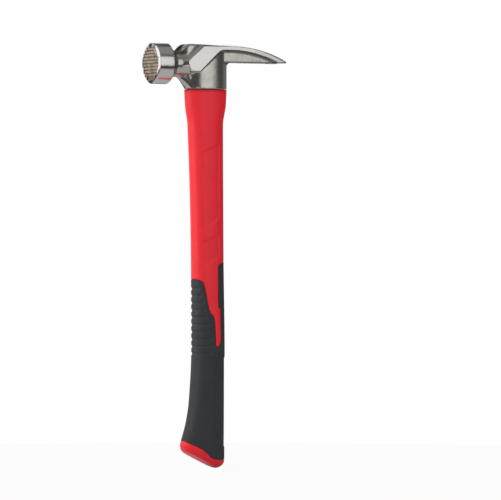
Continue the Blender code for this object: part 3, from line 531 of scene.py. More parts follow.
def milled_outline():
    """The milled area's outline, which steps from row to row of square cells."""
    side = []
    for number in range(-5, 5):
        up = MILLING_RAISE + number * MILLING_PITCH
        half = (int(math.sqrt(MILLING_REACH**2 - up**2) / MILLING_PITCH) + 0.5) * MILLING_PITCH
        for corner in ((up - MILLING_PITCH / 2, half), (up + MILLING_PITCH / 2, half)):
            if not side or math.dist(side[-1], corner) > HAIR:
                side.append(corner)
    return side + [(up, -half) for up, half in reversed(side)]


def grown(outline, margin):
    """The closed outline with every edge moved outwards by the margin."""
    count = len(outline)
    area = sum(outline[i - 1][0] * outline[i][1] - outline[i][0] * outline[i - 1][1] for i in range(count))
    side = margin if area > 0 else -margin
    points = []
    for index in range(count):
        before, here, after = outline[index - 1], outline[index], outline[(index + 1) % count]
        normals = []
        for start, end in ((before, here), (here, after)):
            length = math.dist(start, end)
            normals.append(((end[1] - start[1]) / length, (start[0] - end[0]) / length))
        mitre = 1 + normals[0][0] * normals[1][0] + normals[0][1] * normals[1][1]
        points.append(tuple(here[i] + side * (normals[0][i] + normals[1][i]) / mitre for i in (0, 1)))
    return points


poll = turned_poll()
poll_seat = nail_seat()
settle(combine(poll, "DIFFERENCE", poll_seat), poll_seat)
recess_floor = -MILLING_DEPTH - MILLED_SKIN / 2
poll_cuts = [nail_groove(), face_slab("milled_recess", milled_outline(), recess_floor, OVERRUN)]
combine(head, "UNION", poll)
combine(head, "DIFFERENCE", *poll_cuts)
settle(head, poll, *poll_cuts)


# Finishes that more than one material uses, each a group placed with its own values
def new_node(tree, kind, sockets=None, **settings):
    """Adds a node with its settings, and sets or links its inputs."""
    made = tree.nodes.new(kind)
    for setting, value in settings.items():
        setattr(made, setting, value)
    for socket, value in (sockets or {}).items():
        if isinstance(value, bpy.types.NodeSocket):
            tree.links.new(value, made.inputs[socket])
        else:
            made.inputs[socket].default_value = value
    return made


def maths(tree, operation, first, *others):
    """One operation on a value, or worked through several values in turn."""
    if not others:
        return new_node(tree, "ShaderNodeMath", {0: first}, operation=operation).outputs[0]
    for other in others:
        first = new_node(tree, "ShaderNodeMath", {0: first, 1: other}, operation=operation).outputs[0]
    return first


def times(tree, first, *others):
    """The product of all the values, or the only one as it is."""
    return maths(tree, "MULTIPLY", first, *others) if others else first


def most(tree, *values):
    return maths(tree, "MAXIMUM", *values)


def ramp(tree, value, low, high, start=0.0, end=1.0):
    """Eases from start to end as the value goes from low to high."""
    sockets = {"Value": value, "From Min": low, "From Max": high, "To Min": start, "To Max": end}
    return new_node(tree, "ShaderNodeMapRange", sockets, interpolation_type="SMOOTHSTEP").outputs["Result"]


def blend(tree, share, first, second):
    sockets = {0: share, 6: first, 7: second}
    return new_node(tree, "ShaderNodeMix", sockets, data_type="RGBA").outputs[2]


def place_on_piece(tree):
    return new_node(tree, "ShaderNodeTexCoord").outputs["Object"]


def noise_on_piece(tree, **sockets):
    """A noise pattern that is fixed to the piece, unless another vector is given."""
    if "Vector" not in sockets:
        sockets["Vector"] = place_on_piece(tree)
    return new_node(tree, "ShaderNodeTexNoise", sockets).outputs["Fac"]


def finish_group(name, numbers, result):
    """An empty node group with named number inputs and one named number output."""
    tree = bpy.data.node_groups.new(name, "ShaderNodeTree")
    for label, value in numbers.items():
        socket = tree.interface.new_socket(label, in_out="INPUT", socket_type="NodeSocketFloat")
        socket.default_value = value
    tree.interface.new_socket(result, in_out="OUTPUT", socket_type="NodeSocketFloat")
    return tree, tree.nodes.new("NodeGroupInput").outputs, tree.nodes.new("NodeGroupOutput").inputs[result]


def make_edge_mask(name, numbers, result, detail, breaks):
    """A mask between two values of edge sharpness, broken up by patches."""
    tree, given, mask = finish_group(name, numbers, result)
    start, full, scale = numbers
    edge = new_node(tree, "ShaderNodeNewGeometry").outputs["Pointiness"]
    patches = noise_on_piece(tree, Scale=given[scale], Detail=detail)
    reached = ramp(tree, edge, given[start], given[full])
    tree.links.new(times(tree, reached, ramp(tree, patches, *breaks)), mask)
    return tree


def make_fine_grain():
    """A fine surface grain: blasted steel, spark-eroded mould texture or rubber."""
    numbers = {"Grains Per Metre": 2500.0, "Roughness": 0.6}
    tree, given, result = finish_group("fine_grain", numbers, "Height")
    grain = noise_on_piece(tree, Scale=given["Grains Per Metre"], Detail=6.0, Roughness=given["Roughness"])
    tree.links.new(grain, result)
    return tree


def make_grinding_lines():
    """Fine lines left by a belt or wheel, drawn out along the axis with the smallest scale."""
    numbers = {"Scale X": 60.0, "Scale Y": 2500.0, "Scale Z": 2500.0}
    tree, given, result = finish_group("grinding_lines", numbers, "Height")
    scales = {axis: given["Scale " + axis] for axis in "XYZ"}
    scale = new_node(tree, "ShaderNodeCombineXYZ", scales).outputs[0]
    sockets = {0: place_on_piece(tree), 1: scale}
    drawn_out = new_node(tree, "ShaderNodeVectorMath", sockets, operation="MULTIPLY").outputs[0]
    tree.links.new(noise_on_piece(tree, Vector=drawn_out, Scale=1.0, Detail=5.0, Roughness=0.65), result)
    return tree


def make_handling_marks():
    """Broad soft patches left by hands, dust and oil."""
    numbers = {"Patches Per Metre": 45.0, "Clean Below": 0.42, "Marked Above": 0.68}
    tree, given, result = finish_group("handling_marks", numbers, "Marks")
    patches = noise_on_piece(tree, Scale=given["Patches Per Metre"], Detail=5.0, Distortion=0.4)
    tree.links.new(ramp(tree, patches, given["Clean Below"], given["Marked Above"]), result)
    return tree


# Handling rubs the outer edges bright, and dirt and oxide stay in inner corners
edge_wear = make_edge_mask("edge_wear", {"Worn From": 0.53, "Worn Fully": 0.60, "Patches Per Metre": 300.0},
                           "Wear", 4.0, (0.35, 0.60, 0.45, 1.0))
crevice_grime = make_edge_mask("crevice_grime",
                               {"Dirty From": 0.47, "Dirty Fully": 0.42, "Patches Per Metre": 500.0},
                               "Grime", 5.0, (0.3, 0.6, 0.5, 1.0))
fine_grain = make_fine_grain()
grinding_lines = make_grinding_lines()
handling_marks = make_handling_marks()


def shared(tree, group, **numbers):
    """Places a shared finish in a material and returns its result."""
    placed = new_node(tree, "ShaderNodeGroup", node_tree=group)
    for label, value in numbers.items():
        placed.inputs[label.replace("_", " ")].default_value = value
    return placed.outputs[0]


def new_material(name, metallic=0.0):
    """A material with its Principled shader, whose colour and roughness are linked later."""
    material = bpy.data.materials.new(name)
    material.use_nodes = True
    shader = material.node_tree.nodes["Principled BSDF"]
    shader.inputs["Metallic"].default_value = metallic
    return material, material.node_tree, shader


def dress(tree, shader, colour, roughness, *bumps):
    """Links the shader's colour and roughness, and stacks (height, strength, distance) bumps."""
    tree.links.new(colour, shader.inputs["Base Color"])
    tree.links.new(roughness, shader.inputs["Roughness"])
    normal = {}
    for height, strength, distance in bumps:
        sockets = {"Height": height, "Strength": strength, "Distance": distance, **normal}
        normal = {"Normal": new_node(tree, "ShaderNodeBump", sockets).outputs["Normal"]}
    tree.links.new(normal["Normal"], shader.inputs["Normal"])


def shade_smooth(thing, angle=None):
    """Smooth shading, with edges past the angle in degrees kept sharp."""
    thing.data.polygons.foreach_set("use_smooth", [True] * len(thing.data.polygons))
    if angle:
        thing.data.set_sharp_from_angle(angle=math.radians(angle))
    thing.data.update()


def finish_piece(thing, material, *nodes, slot=None):
    """Gives a finished piece its material and puts it in place of its CAD node."""
    thing.data.materials.clear()
    thing.data.materials.append(material)
    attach(thing, "root")
    if nodes:
        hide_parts(*nodes)


GROUND_STEEL = (0.545, 0.53, 0.51, 1)
FORGED_STEEL = (0.47, 0.45, 0.42, 1)
HANDLED_STEEL = (0.33, 0.30, 0.265, 1)
OXIDE_BROWN = (0.085, 0.045, 0.028, 1)
# Dark grey painted on as shade under the claw plate
UNDERSIDE_SHADE_DARK = (0.115, 0.105, 0.095, 1)
WORN_STEEL = (0.72, 0.71, 0.69, 1)
BELT_LINE_DEPTH = 0.00004
BLAST_DEPTH = 0.00006
HAMMERED_DEPTH = 0.0003

# The head's finishes fade in from the first to the second of two values, which are places on X,
# distances across from the middle, heights, or how far the steel faces up. Two of these masks are
# painted light: the top is painted ground-bright where it faces up, as a painted highlight, and the
# steel under the claw plate is painted dark where it faces down, as painted shade.
CHEEK_GRIND = {"across": (0.0128, 0.0133), "x": (-0.034, -0.032)}
# Partly a real ground finish and partly a painted highlight: the top is painted as bright as the ground
# cheeks where it faces up, standing in for light from above
TOP_GRIND_AND_HIGHLIGHT = {"facing_up": (0.5, 0.7), "x": (-0.0175, -0.0160), "z": (-0.0200, -0.0185)}
POLL_GRIND = {"x": (poll_back - 0.0055, poll_back - 0.0062)}
SEAT_RUST = {"x": (nail_seat_back + 0.0006, nail_seat_back), "across": (0.0053, 0.0044),
             "z": (-0.0110, -0.0100)}
GROOVE_RUST = {"x": (poll_back, poll_back - 0.0010), "across": (0.0036, 0.0031),
               "z": (poll_top - 0.0004, poll_top - 0.0010)}
BEHIND_POLL = {"x": (poll_back - 0.0010, poll_back)}
SHOULDER_RUST = {"x": (-0.0268, -0.0296), "across": (0.0120, 0.0100), "z": (-0.0120, -0.0095)}
# Painted shade: steel under the claw plate that faces down is painted dark, where the plate keeps light off
# it
CLAW_UNDERSIDE_SHADE = {"facing_up": (-0.22, -0.60), "x": (0.0050, 0.0090), "z": (-0.0260, -0.0230)}


def make_head_steel():
    material, tree, shader = new_material("head_steel", 1.0)
    x, y, z = new_node(tree, "ShaderNodeSeparateXYZ", {0: place_on_piece(tree)}).outputs
    normal = new_node(tree, "ShaderNodeNewGeometry").outputs["Normal"]
    facing_up = new_node(tree, "ShaderNodeSeparateXYZ", {0: normal}).outputs["Z"]
    measures = {"x": x, "across": maths(tree, "ABSOLUTE", y), "z": z, "facing_up": facing_up}

    def region(limits):
        return times(tree, *[ramp(tree, measures[measure], *fade) for measure, fade in limits.items()])

    on_cheek, on_poll = region(CHEEK_GRIND), region(POLL_GRIND)
    ground_and_top_highlight = most(tree, on_cheek, on_poll, region(TOP_GRIND_AND_HIGHLIGHT))
    behind_poll = region(BEHIND_POLL)
    rust = shared(tree, handling_marks, Patches_Per_Metre=350.0, Clean_Below=0.25, Marked_Above=0.48)
    stained = times(tree, region(SHOULDER_RUST), behind_poll, rust, 0.95)
    grime = shared(tree, crevice_grime, Dirty_From=0.455, Dirty_Fully=0.395)
    oxide = most(tree, times(tree, region(SEAT_RUST), behind_poll), region(GROOVE_RUST),
                 times(tree, grime, 0.75), stained)

    marks = shared(tree, handling_marks)
    forged = blend(tree, times(tree, marks, 0.25), FORGED_STEEL, HANDLED_STEEL)
    # Ground steel colour, which on the upward-facing top is a painted highlight
    colour = blend(tree, ground_and_top_highlight, forged, GROUND_STEEL)
    # Painted shade under the claw plate
    colour = blend(tree, times(tree, region(CLAW_UNDERSIDE_SHADE), 0.85), colour, UNDERSIDE_SHADE_DARK)
    colour = blend(tree, times(tree, shared(tree, edge_wear), 0.6), colour, WORN_STEEL)
    colour = blend(tree, times(tree, oxide, 0.85), colour, OXIDE_BROWN)
    rough = maths(tree, "ADD", ramp(tree, ground_and_top_highlight, 0.0, 1.0, 0.22, 0.14), times(tree, on_poll, 0.04),
                  times(tree, marks, 0.05), times(tree, oxide, 0.25))

    belt = shared(tree, grinding_lines, Scale_X=70.0, Scale_Y=2600.0, Scale_Z=2600.0)
    wheel = shared(tree, grinding_lines, Scale_X=2600.0, Scale_Y=25.0, Scale_Z=25.0)
    lines = maths(tree, "ADD", times(tree, belt, on_cheek), times(tree, wheel, on_poll))
    unground = maths(tree, "SUBTRACT", 1.0, ground_and_top_highlight)
    blast = times(tree, shared(tree, fine_grain, Grains_Per_Metre=1800.0), unground)
    hammered = times(tree, noise_on_piece(tree, Scale=160.0, Detail=2.0), unground)
    dress(tree, shader, colour, rough, (lines, 0.25, BELT_LINE_DEPTH), (blast, 0.5, BLAST_DEPTH),
          (hammered, 0.35, HAMMERED_DEPTH))
    return material


shade_smooth(head, 45)
finish_piece(head, make_head_steel(), "hammer_head", slot="head_steel")

# Milled face
# The striking face is milled into a waffle of small four-sided pyramids, a pitch apart, inside
# the chamfered rim. The cutter leaves flat tips and brown tempered flanks; the roots are painted darker, as
# painted shade down in the grooves.
PYRAMID_TIP = 0.0004
ROOT_LAND = 0.0002
RIDGE_ROUND = 0.00009
TIP_BELOW_RIM = 0.0001
BASE_OVERLAP = 0.00004
FLANK_BROWN = (0.35, 0.285, 0.225, 1)
# Darker brown painted into the roots as painted shade in the grooves
SHADED_ROOT_BROWN = (0.27, 0.21, 0.165, 1)
TIP_BEIGE = (0.46, 0.40, 0.34, 1)
CUTTER_LINE_DEPTH = 0.00003


def make_pyramid():
    """One pyramid of the waffle, standing on Z = 0, with its ridges and tip rubbed round."""
    shell = bmesh.new()
    tall = MILLING_DEPTH - TIP_BELOW_RIM
    place = Matrix.Translation((0, 0, tall / 2)) @ Matrix.Rotation(math.pi / 4, 4, "Z")
    bmesh.ops.create_cone(shell, cap_ends=True, segments=4, depth=tall, matrix=place,
                          radius1=(MILLING_PITCH - ROOT_LAND) / math.sqrt(2),
                          radius2=PYRAMID_TIP / math.sqrt(2))
    ridges = [edge for edge in shell.edges if max(vert.co.z for vert in edge.verts) > tall / 2]
    bmesh.ops.bevel(shell, geom=ridges, offset=RIDGE_ROUND, segments=2, profile=0.6, affect="EDGES")
    return object_from("milling_pyramid", shell)


def geometry_tree(name, sockets):
    """A Geometry Nodes tree with a geometry in and out and the named inputs."""
    tree = bpy.data.node_groups.new(name, "GeometryNodeTree")
    tree.interface.new_socket("Geometry", in_out="INPUT", socket_type="NodeSocketGeometry")
    for label, kind in sockets.items():
        tree.interface.new_socket(label, in_out="INPUT", socket_type="NodeSocket" + kind)
    tree.interface.new_socket("Geometry", in_out="OUTPUT", socket_type="NodeSocketGeometry")
    return tree, tree.nodes.new("NodeGroupInput").outputs, tree.nodes.new("NodeGroupOutput").inputs[0]


def finish_tree(tree, solid, finish, result):
    """Ends a tree: instances become one mesh, and the mesh gets its material."""
    solid = new_node(tree, "GeometryNodeRealizeInstances", {"Geometry": solid}).outputs[0]
    sockets = {"Geometry": solid, "Material": finish}
    tree.links.new(new_node(tree, "GeometryNodeSetMaterial", sockets).outputs[0], result)
    return tree


def make_milling_tree():
    """Geometry Nodes: pyramids in rows and columns, where the face's milled area has room."""
    sockets = {"Pitch": "Float", "Rows": "Int", "Raise": "Float", "Reach": "Float", "Plain Below": "Float",
               "Wear": "Float", "Seed": "Int", "Pyramid": "Object", "Finish": "Material"}
    tree, given, result = geometry_tree("milled_waffle", sockets)
    span = times(tree, maths(tree, "SUBTRACT", given["Rows"], 1.0), given["Pitch"])
    grid = {"Size X": span, "Size Y": span, "Vertices X": given["Rows"], "Vertices Y": given["Rows"]}
    places = new_node(tree, "GeometryNodeMeshGrid", grid).outputs["Mesh"]
    shift = new_node(tree, "ShaderNodeCombineXYZ", {0: given["Raise"]}).outputs[0]
    places = new_node(tree, "GeometryNodeSetPosition", {"Geometry": places, "Offset": shift}).outputs[0]
    position = new_node(tree, "GeometryNodeInputPosition").outputs[0]
    from_middle = new_node(tree, "ShaderNodeVectorMath", {0: position}, operation="LENGTH")
    outside = maths(tree, "GREATER_THAN", from_middle.outputs["Value"], given["Reach"])
    up = new_node(tree, "ShaderNodeSeparateXYZ", {0: position}).outputs[0]
    bare = {"Selection": most(tree, outside, maths(tree, "LESS_THAN", up, given["Plain Below"]))}
    places = new_node(tree, "GeometryNodeDeleteGeometry", {"Geometry": places, **bare}).outputs[0]
    source = {"Object": given["Pyramid"], "As Instance": True}
    pyramid = new_node(tree, "GeometryNodeObjectInfo", source).outputs["Geometry"]
    chance = {2: maths(tree, "SUBTRACT", 1.0, given["Wear"]), 3: 1.0, "Seed": given["Seed"]}
    height = new_node(tree, "FunctionNodeRandomValue", chance, data_type="FLOAT").outputs[1]
    scale = new_node(tree, "ShaderNodeCombineXYZ", {0: 1.0, 1: 1.0, 2: height}).outputs[0]
    stand = {"Points": places, "Instance": pyramid, "Scale": scale}
    solid = new_node(tree, "GeometryNodeInstanceOnPoints", stand).outputs[0]
    return finish_tree(tree, solid, given["Finish"], result)


def node_modifier(thing, tree, **values):
    """Adds a Geometry Nodes modifier and sets its inputs by their identifiers."""
    modifier = thing.modifiers.new(tree.name, "NODES")
    modifier.node_group = tree
    for item in tree.interface.items_tree:
        label = item.name.replace(" ", "_")
        if item.in_out == "INPUT" and label in values:
            modifier[item.identifier] = values[label]
    return modifier


def make_milled_brown():
    material, tree, shader = new_material("milled_brown", 0.95)
    x = new_node(tree, "ShaderNodeSeparateXYZ", {0: place_on_piece(tree)}).outputs["X"]
    depth = maths(tree, "SUBTRACT", x, -FACE_REACH)
    marks = shared(tree, handling_marks, Patches_Per_Metre=180.0)
    # Painted shade: the deepest part of each groove is painted darker
    colour = blend(tree, ramp(tree, depth, 0.0008, MILLING_DEPTH), FLANK_BROWN, SHADED_ROOT_BROWN)
    colour = blend(tree, ramp(tree, depth, 0.0004, TIP_BELOW_RIM), colour, TIP_BEIGE)
    colour = blend(tree, times(tree, marks, 0.4), colour, OXIDE_BROWN)
    cutter = shared(tree, grinding_lines, Scale_X=400.0, Scale_Y=400.0, Scale_Z=6000.0)
    grain = shared(tree, fine_grain, Grains_Per_Metre=3500.0)
    dress(tree, shader, colour, ramp(tree, marks, 0.0, 1.0, 0.42, 0.54), (cutter, 0.3, CUTTER_LINE_DEPTH),
          (grain, 0.25, CUTTER_LINE_DEPTH))
    return material


milled_brown = make_milled_brown()
pyramid = make_pyramid()
milled_face = object_from("milled_face", bmesh.new())
node_modifier(milled_face, make_milling_tree(), Pitch=MILLING_PITCH, Rows=11, Raise=MILLING_RAISE,
              Reach=MILLING_REACH, Plain_Below=-4.5 * MILLING_PITCH, Wear=0.04, Seed=7,
              Pyramid=pyramid, Finish=milled_brown)
settle(milled_face, pyramid)
milled_face.data.transform(face_frame @ Matrix.Translation((0, 0, -MILLING_DEPTH)))
milled_base = face_slab("milled_base", grown(milled_outline(), HAIR), -MILLING_DEPTH - MILLED_SKIN,
                        BASE_OVERLAP - MILLING_DEPTH)
settle(combine(milled_face, "UNION", milled_base), milled_base)
shade_smooth(milled_face, 30)
finish_piece(milled_face, milled_brown, "hammer_head", slot="head_steel")

# Nail magnet
# A small nickel-plated disc magnet, pressed into the floor of the nail seat. It holds the nail's
# head while the groove in the poll steadies the shank.
MAGNET_CHAMFER = 0.0003
WORN_NICKEL = (0.42, 0.39, 0.35, 1)
NICKEL_GRAIN_DEPTH = 0.00003


def magnet_rings():
    radius = MAGNET_DIAMETER / 2
    bottom, top = -NAIL_SEAT_DEPTH - MAGNET_THICKNESS, -NAIL_SEAT_DEPTH
    profile = ((radius - MAGNET_CHAMFER, bottom), (radius, bottom + MAGNET_CHAMFER),
               (radius, top - MAGNET_CHAMFER), (radius - MAGNET_CHAMFER, top))
    return [round_ring(ring_radius, height) for ring_radius, height in profile]


def make_nickel():
    material, tree, shader = new_material("worn_nickel", 1.0)
    wear = shared(tree, edge_wear, Worn_From=0.5, Worn_Fully=0.56)
    marks = shared(tree, handling_marks, Patches_Per_Metre=500.0)
    colour = blend(tree, times(tree, marks, 0.7), WORN_NICKEL, OXIDE_BROWN)
    colour = blend(tree, wear, colour, WORN_STEEL)
    grain = shared(tree, fine_grain, Grains_Per_Metre=4000.0)
    dress(tree, shader, colour, ramp(tree, marks, 0.0, 1.0, 0.22, 0.5), (grain, 0.3, NICKEL_GRAIN_DEPTH))
    return material


magnet = loft("nail_magnet_disc", magnet_rings())
shade_smooth(magnet, 30)
finish_piece(magnet, make_nickel(), "nail_magnet", slot="magnet")

# Eye resin
# Black epoxy is poured into the eye round the core and over its end. It sets with a slightly
# dished, glossy top, and a few air bubbles leave pits in it.
RESIN_BELOW_TOP = 0.0012
RESIN_DISH = 0.0005
RESIN_DISH_REACH = 0.0065
CORE_DEPTH = 0.0200
CORE_WIDTH = 0.0120
CORE_BACK = 0.0012
CORE_TOP_COVER = 0.0040
CORE_FOOT_COVER = 0.0250
CORE_SQUARENESS = 2.6
EPOXY_BLACK = (0.018, 0.018, 0.019, 1)
DUSTY_EPOXY = (0.045, 0.042, 0.040, 1)
BUBBLE_DEPTH = 0.0003
FLOW_DEPTH = 0.0002


def core_hollow(name, *heights):
    """The space that the core stands in, a hair wider than the core."""
    front, rear = CORE_BACK - CORE_DEPTH / 2 - HAIR, CORE_BACK + CORE_DEPTH / 2 + HAIR
    half = CORE_WIDTH / 2 + HAIR
    return loft(name, [oval_ring((front, z), (rear, z), half, CORE_SQUARENESS) for z in heights])


def resin_rings():
    """The eye's form with a dished top that sinks towards the middle."""
    rings = [eye_ring(HAIR, -SOCKET_HEIGHT), eye_ring(HAIR, -RESIN_BELOW_TOP)]
    for step in range(1, 7):
        share = step / 6
        height = -RESIN_BELOW_TOP - RESIN_DISH * share * (2 - share)
        rings.append(eye_ring(HAIR + RESIN_DISH_REACH * share, height))
    return rings


def make_epoxy():
    material, tree, shader = new_material("cast_epoxy")
    bubbles = new_node(tree, "ShaderNodeTexVoronoi", {"Vector": place_on_piece(tree), "Scale": 260.0})
    unpitted = maths(tree, "SUBTRACT", 1.0, ramp(tree, bubbles.outputs["Distance"], 0.16, 0.08))
    flow = noise_on_piece(tree, Scale=120.0, Detail=3.0)
    marks = shared(tree, handling_marks, Patches_Per_Metre=90.0)
    dress(tree, shader, blend(tree, marks, EPOXY_BLACK, DUSTY_EPOXY),
          ramp(tree, marks, 0.0, 1.0, 0.22, 0.42), (unpitted, 0.6, BUBBLE_DEPTH), (flow, 0.3, FLOW_DEPTH))
    return material


resin = loft("eye_resin_fill", resin_rings())
resin_hollow = core_hollow("resin_hollow", -SOCKET_HEIGHT - OVERRUN, HAIR - CORE_TOP_COVER)
combine(resin, "DIFFERENCE", resin_hollow)
settle(resin, resin_hollow)
shade_smooth(resin, 35)
finish_piece(resin, make_epoxy(), "eye_resin", slot="resin")

# Fibreglass core
# A pultruded bar of glass fibres in resin runs from the eye to near the butt. Its CAD solid has
# the right shape, so it only gets the look of straight fibres along its length.
RESIN_AMBER = (0.50, 0.42, 0.22, 1)
PALE_GLASS = (0.80, 0.74, 0.52, 1)
DARK_AMBER = (0.45, 0.36, 0.18, 1)
FIBRE_DEPTH = 0.0001


def make_fibreglass():
    material, tree, shader = new_material("pultruded_fibreglass")
    fibres = shared(tree, grinding_lines, Scale_X=2200.0, Scale_Y=2200.0, Scale_Z=18.0)
    colour = blend(tree, ramp(tree, fibres, 0.35, 0.65), RESIN_AMBER, PALE_GLASS)
    colour = blend(tree, times(tree, shared(tree, handling_marks), 0.3), colour, DARK_AMBER)
    dress(tree, shader, colour, ramp(tree, fibres, 0.3, 0.7, 0.32, 0.5), (fibres, 0.4, FIBRE_DEPTH))
    return material


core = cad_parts["fiberglass_core"]
core.data.materials.clear()
core.data.materials.append(make_fibreglass())

# Handle jacket
# The jacket is glass-filled nylon, moulded red round the core: a collar under the socket, a
# waist, shallow side panels, a tongue that runs down into the rubber, and a flared butt.
HAMMER_LENGTH = 0.4051
BUTT_FRONT = 0.0268
BUTT_REAR = 0.0175
BUTT_TILT_RISE = 0.0155
BUTT_ROUND_HEIGHT = 0.0075
BUTT_FRONT_ROUND = 0.0040
BUTT_REAR_ROUND = 0.0090
BUTT_SIDE_ROUND = 0.0035
HANDLE_TOP_WIDTH = 0.0212
HANDLE_GRIP_WIDTH = 0.0240
HANDLE_SQUARENESS = 2.7
MOUTH_DROP = SOCKET_HEIGHT + HAIR
COLLAR_DROP = MOUTH_DROP + 0.0149
THROAT_DROP = MOUTH_DROP + 0.0340
WAIST_DROP = HAMMER_LENGTH - 0.2077
PALM_DROP = HAMMER_LENGTH - 0.1119
HEEL_DROP = HAMMER_LENGTH - 0.0640
FLARE_DROP = HAMMER_LENGTH - 0.0448
BUTT_REAR_DROP = HAMMER_LENGTH - BUTT_ROUND_HEIGHT
BUTT_FRONT_DROP = BUTT_REAR_DROP - BUTT_TILT_RISE

PANEL_DEPTH = 0.0005
PANEL_FRONT = 0.0098
PANEL_BACK = 0.0090
PANELS = ((0.0600, 0.1360), (0.1460, 0.1720))
PANEL_TOP_SLANT = 0.0078
PANEL_FOOT_SLANT = 0.0130

GRIP_THICKNESS = 0.0026
GRIP_FRONT_TOP = 0.1820
GRIP_REAR_TOP = 0.1938
GRIP_REAR_RISE = 0.0100
GRIP_FOOT_FRONT = 0.0266
GRIP_FOOT_REAR = 0.0083
TONGUE_FOOT = 0.1163
TONGUE_TIP_BACK = 0.0080
TONGUE_CHAMFER = 0.0042
TONGUE_BACK = 0.0100
TONGUE_STEP_RISE = 0.0355
REAR_TAB_FRONT = 0.0078
REAR_TAB_CORNER = 0.0030
REAR_TAB_LIFT = 0.0013
TONGUE_FRONT_EDGE = ((0.0, -0.0180), (0.024, -0.0140), (0.037, -0.0114), (0.072, -0.0081), (0.158, -0.0064),
                     (0.32, -0.0044), (0.44, -0.0028), (0.50, -0.0016), (0.577, 0.0025), (0.70, 0.0036),
                     (1.0, 0.0045))
GRIP_FOOT_EDGE = ((-0.0262, 1.03), (-0.0223, 0.87), (-0.0150, 0.68), (-0.0104, 0.55), (0.0030, 0.03),
                  (0.0062, 0.0))
RING_SPACING = 0.0012
JACKET_VOXEL = 0.00065
MOULD_PASSES = 3


def smooth_curve(stations):
    """A smooth curve through (place, value) stations that never swings past them."""
    places = [place for place, _ in stations]
    values = [value for _, value in stations]
    spans = [after - before for before, after in zip(places, places[1:])]
    rises = [(after - before) / span for before, after, span in zip(values, values[1:], spans)]
    slopes = [rises[0]]
    for before, after in zip(rises, rises[1:]):
        slopes.append(0.0 if before * after <= 0 else 2 * before * after / (before + after))
    slopes.append(rises[-1])

    def value_at(place):
        place = min(max(place, places[0]), places[-1])
        index = max(number for number in range(len(spans)) if places[number] <= place)
        share = (place - places[index]) / spans[index]
        ease = share * share * (3 - 2 * share)
        leave = share * (1 - share) ** 2 * spans[index] * slopes[index]
        arrive = share * share * (share - 1) * spans[index] * slopes[index + 1]
        return values[index] + ease * (values[index + 1] - values[index]) + leave + arrive

    return value_at


handle_front = smooth_curve([(MOUTH_DROP, socket_front), (COLLAR_DROP, -0.0217), (THROAT_DROP, -0.0189),
                             (WAIST_DROP, -0.0151), (PALM_DROP, -0.0143), (HEEL_DROP, -0.0170),
                             (FLARE_DROP, -0.0202), (BUTT_FRONT_DROP, -BUTT_FRONT)])
handle_rear = smooth_curve([(MOUTH_DROP, socket_rear), (COLLAR_DROP, 0.0195), (THROAT_DROP, 0.0163),
                            (WAIST_DROP, 0.0167), (PALM_DROP, 0.0176), (HEEL_DROP, 0.0176),
                            (BUTT_REAR_DROP, BUTT_REAR)])
handle_half = smooth_curve([(MOUTH_DROP, HANDLE_TOP_WIDTH / 2), (WAIST_DROP, HANDLE_TOP_WIDTH / 2),
                            (PALM_DROP, HANDLE_GRIP_WIDTH / 2), (BUTT_REAR_DROP, HANDLE_GRIP_WIDTH / 2)])


def handle_form(name, inset=0.0, spacing=RING_SPACING, points=160):
    """The handle's outer form, moved inwards by the inset; its lower rings tilt with the butt."""
    level = round((HEEL_DROP - MOUTH_DROP) / spacing)
    pairs = [(MOUTH_DROP + (HEEL_DROP - MOUTH_DROP) * step / level,) * 2 for step in range(level)]
    tilted = round((BUTT_REAR_DROP - HEEL_DROP) / spacing)
    heel, butt = (HEEL_DROP, HEEL_DROP), (BUTT_FRONT_DROP, BUTT_REAR_DROP)
    pairs += [between(heel, butt, step / tilted) for step in range(tilted + 1)]
    rings = []
    for front_drop, rear_drop in pairs:
        front = (handle_front(front_drop) + inset, -front_drop)
        rear = (handle_rear(rear_drop) - inset, -rear_drop)
        rings.append(oval_ring(front, rear, handle_half(rear_drop) - inset, HANDLE_SQUARENESS, points))
    for step in range(1, 13):
        angle = math.pi / 2 * step / 12
        inwards = 1 - math.cos(angle)
        down = (BUTT_ROUND_HEIGHT - inset) * math.sin(angle)
        front = (inset - BUTT_FRONT + BUTT_FRONT_ROUND * inwards, -BUTT_FRONT_DROP - down)
        rear = (BUTT_REAR - inset - BUTT_REAR_ROUND * inwards, -BUTT_REAR_DROP - down)
        half = HANDLE_GRIP_WIDTH / 2 - inset - BUTT_SIDE_ROUND * inwards
        rings.append(oval_ring(front, rear, half, HANDLE_SQUARENESS, points))
    return loft(name, rings)


def side_edge(stations, top, foot, steps=48):
    """Points down an edge in side view, from stations of X at shares of the way down."""
    place_at = smooth_curve(stations)
    return [(place_at(step / steps), top + (foot - top) * step / steps) for step in range(steps + 1)]


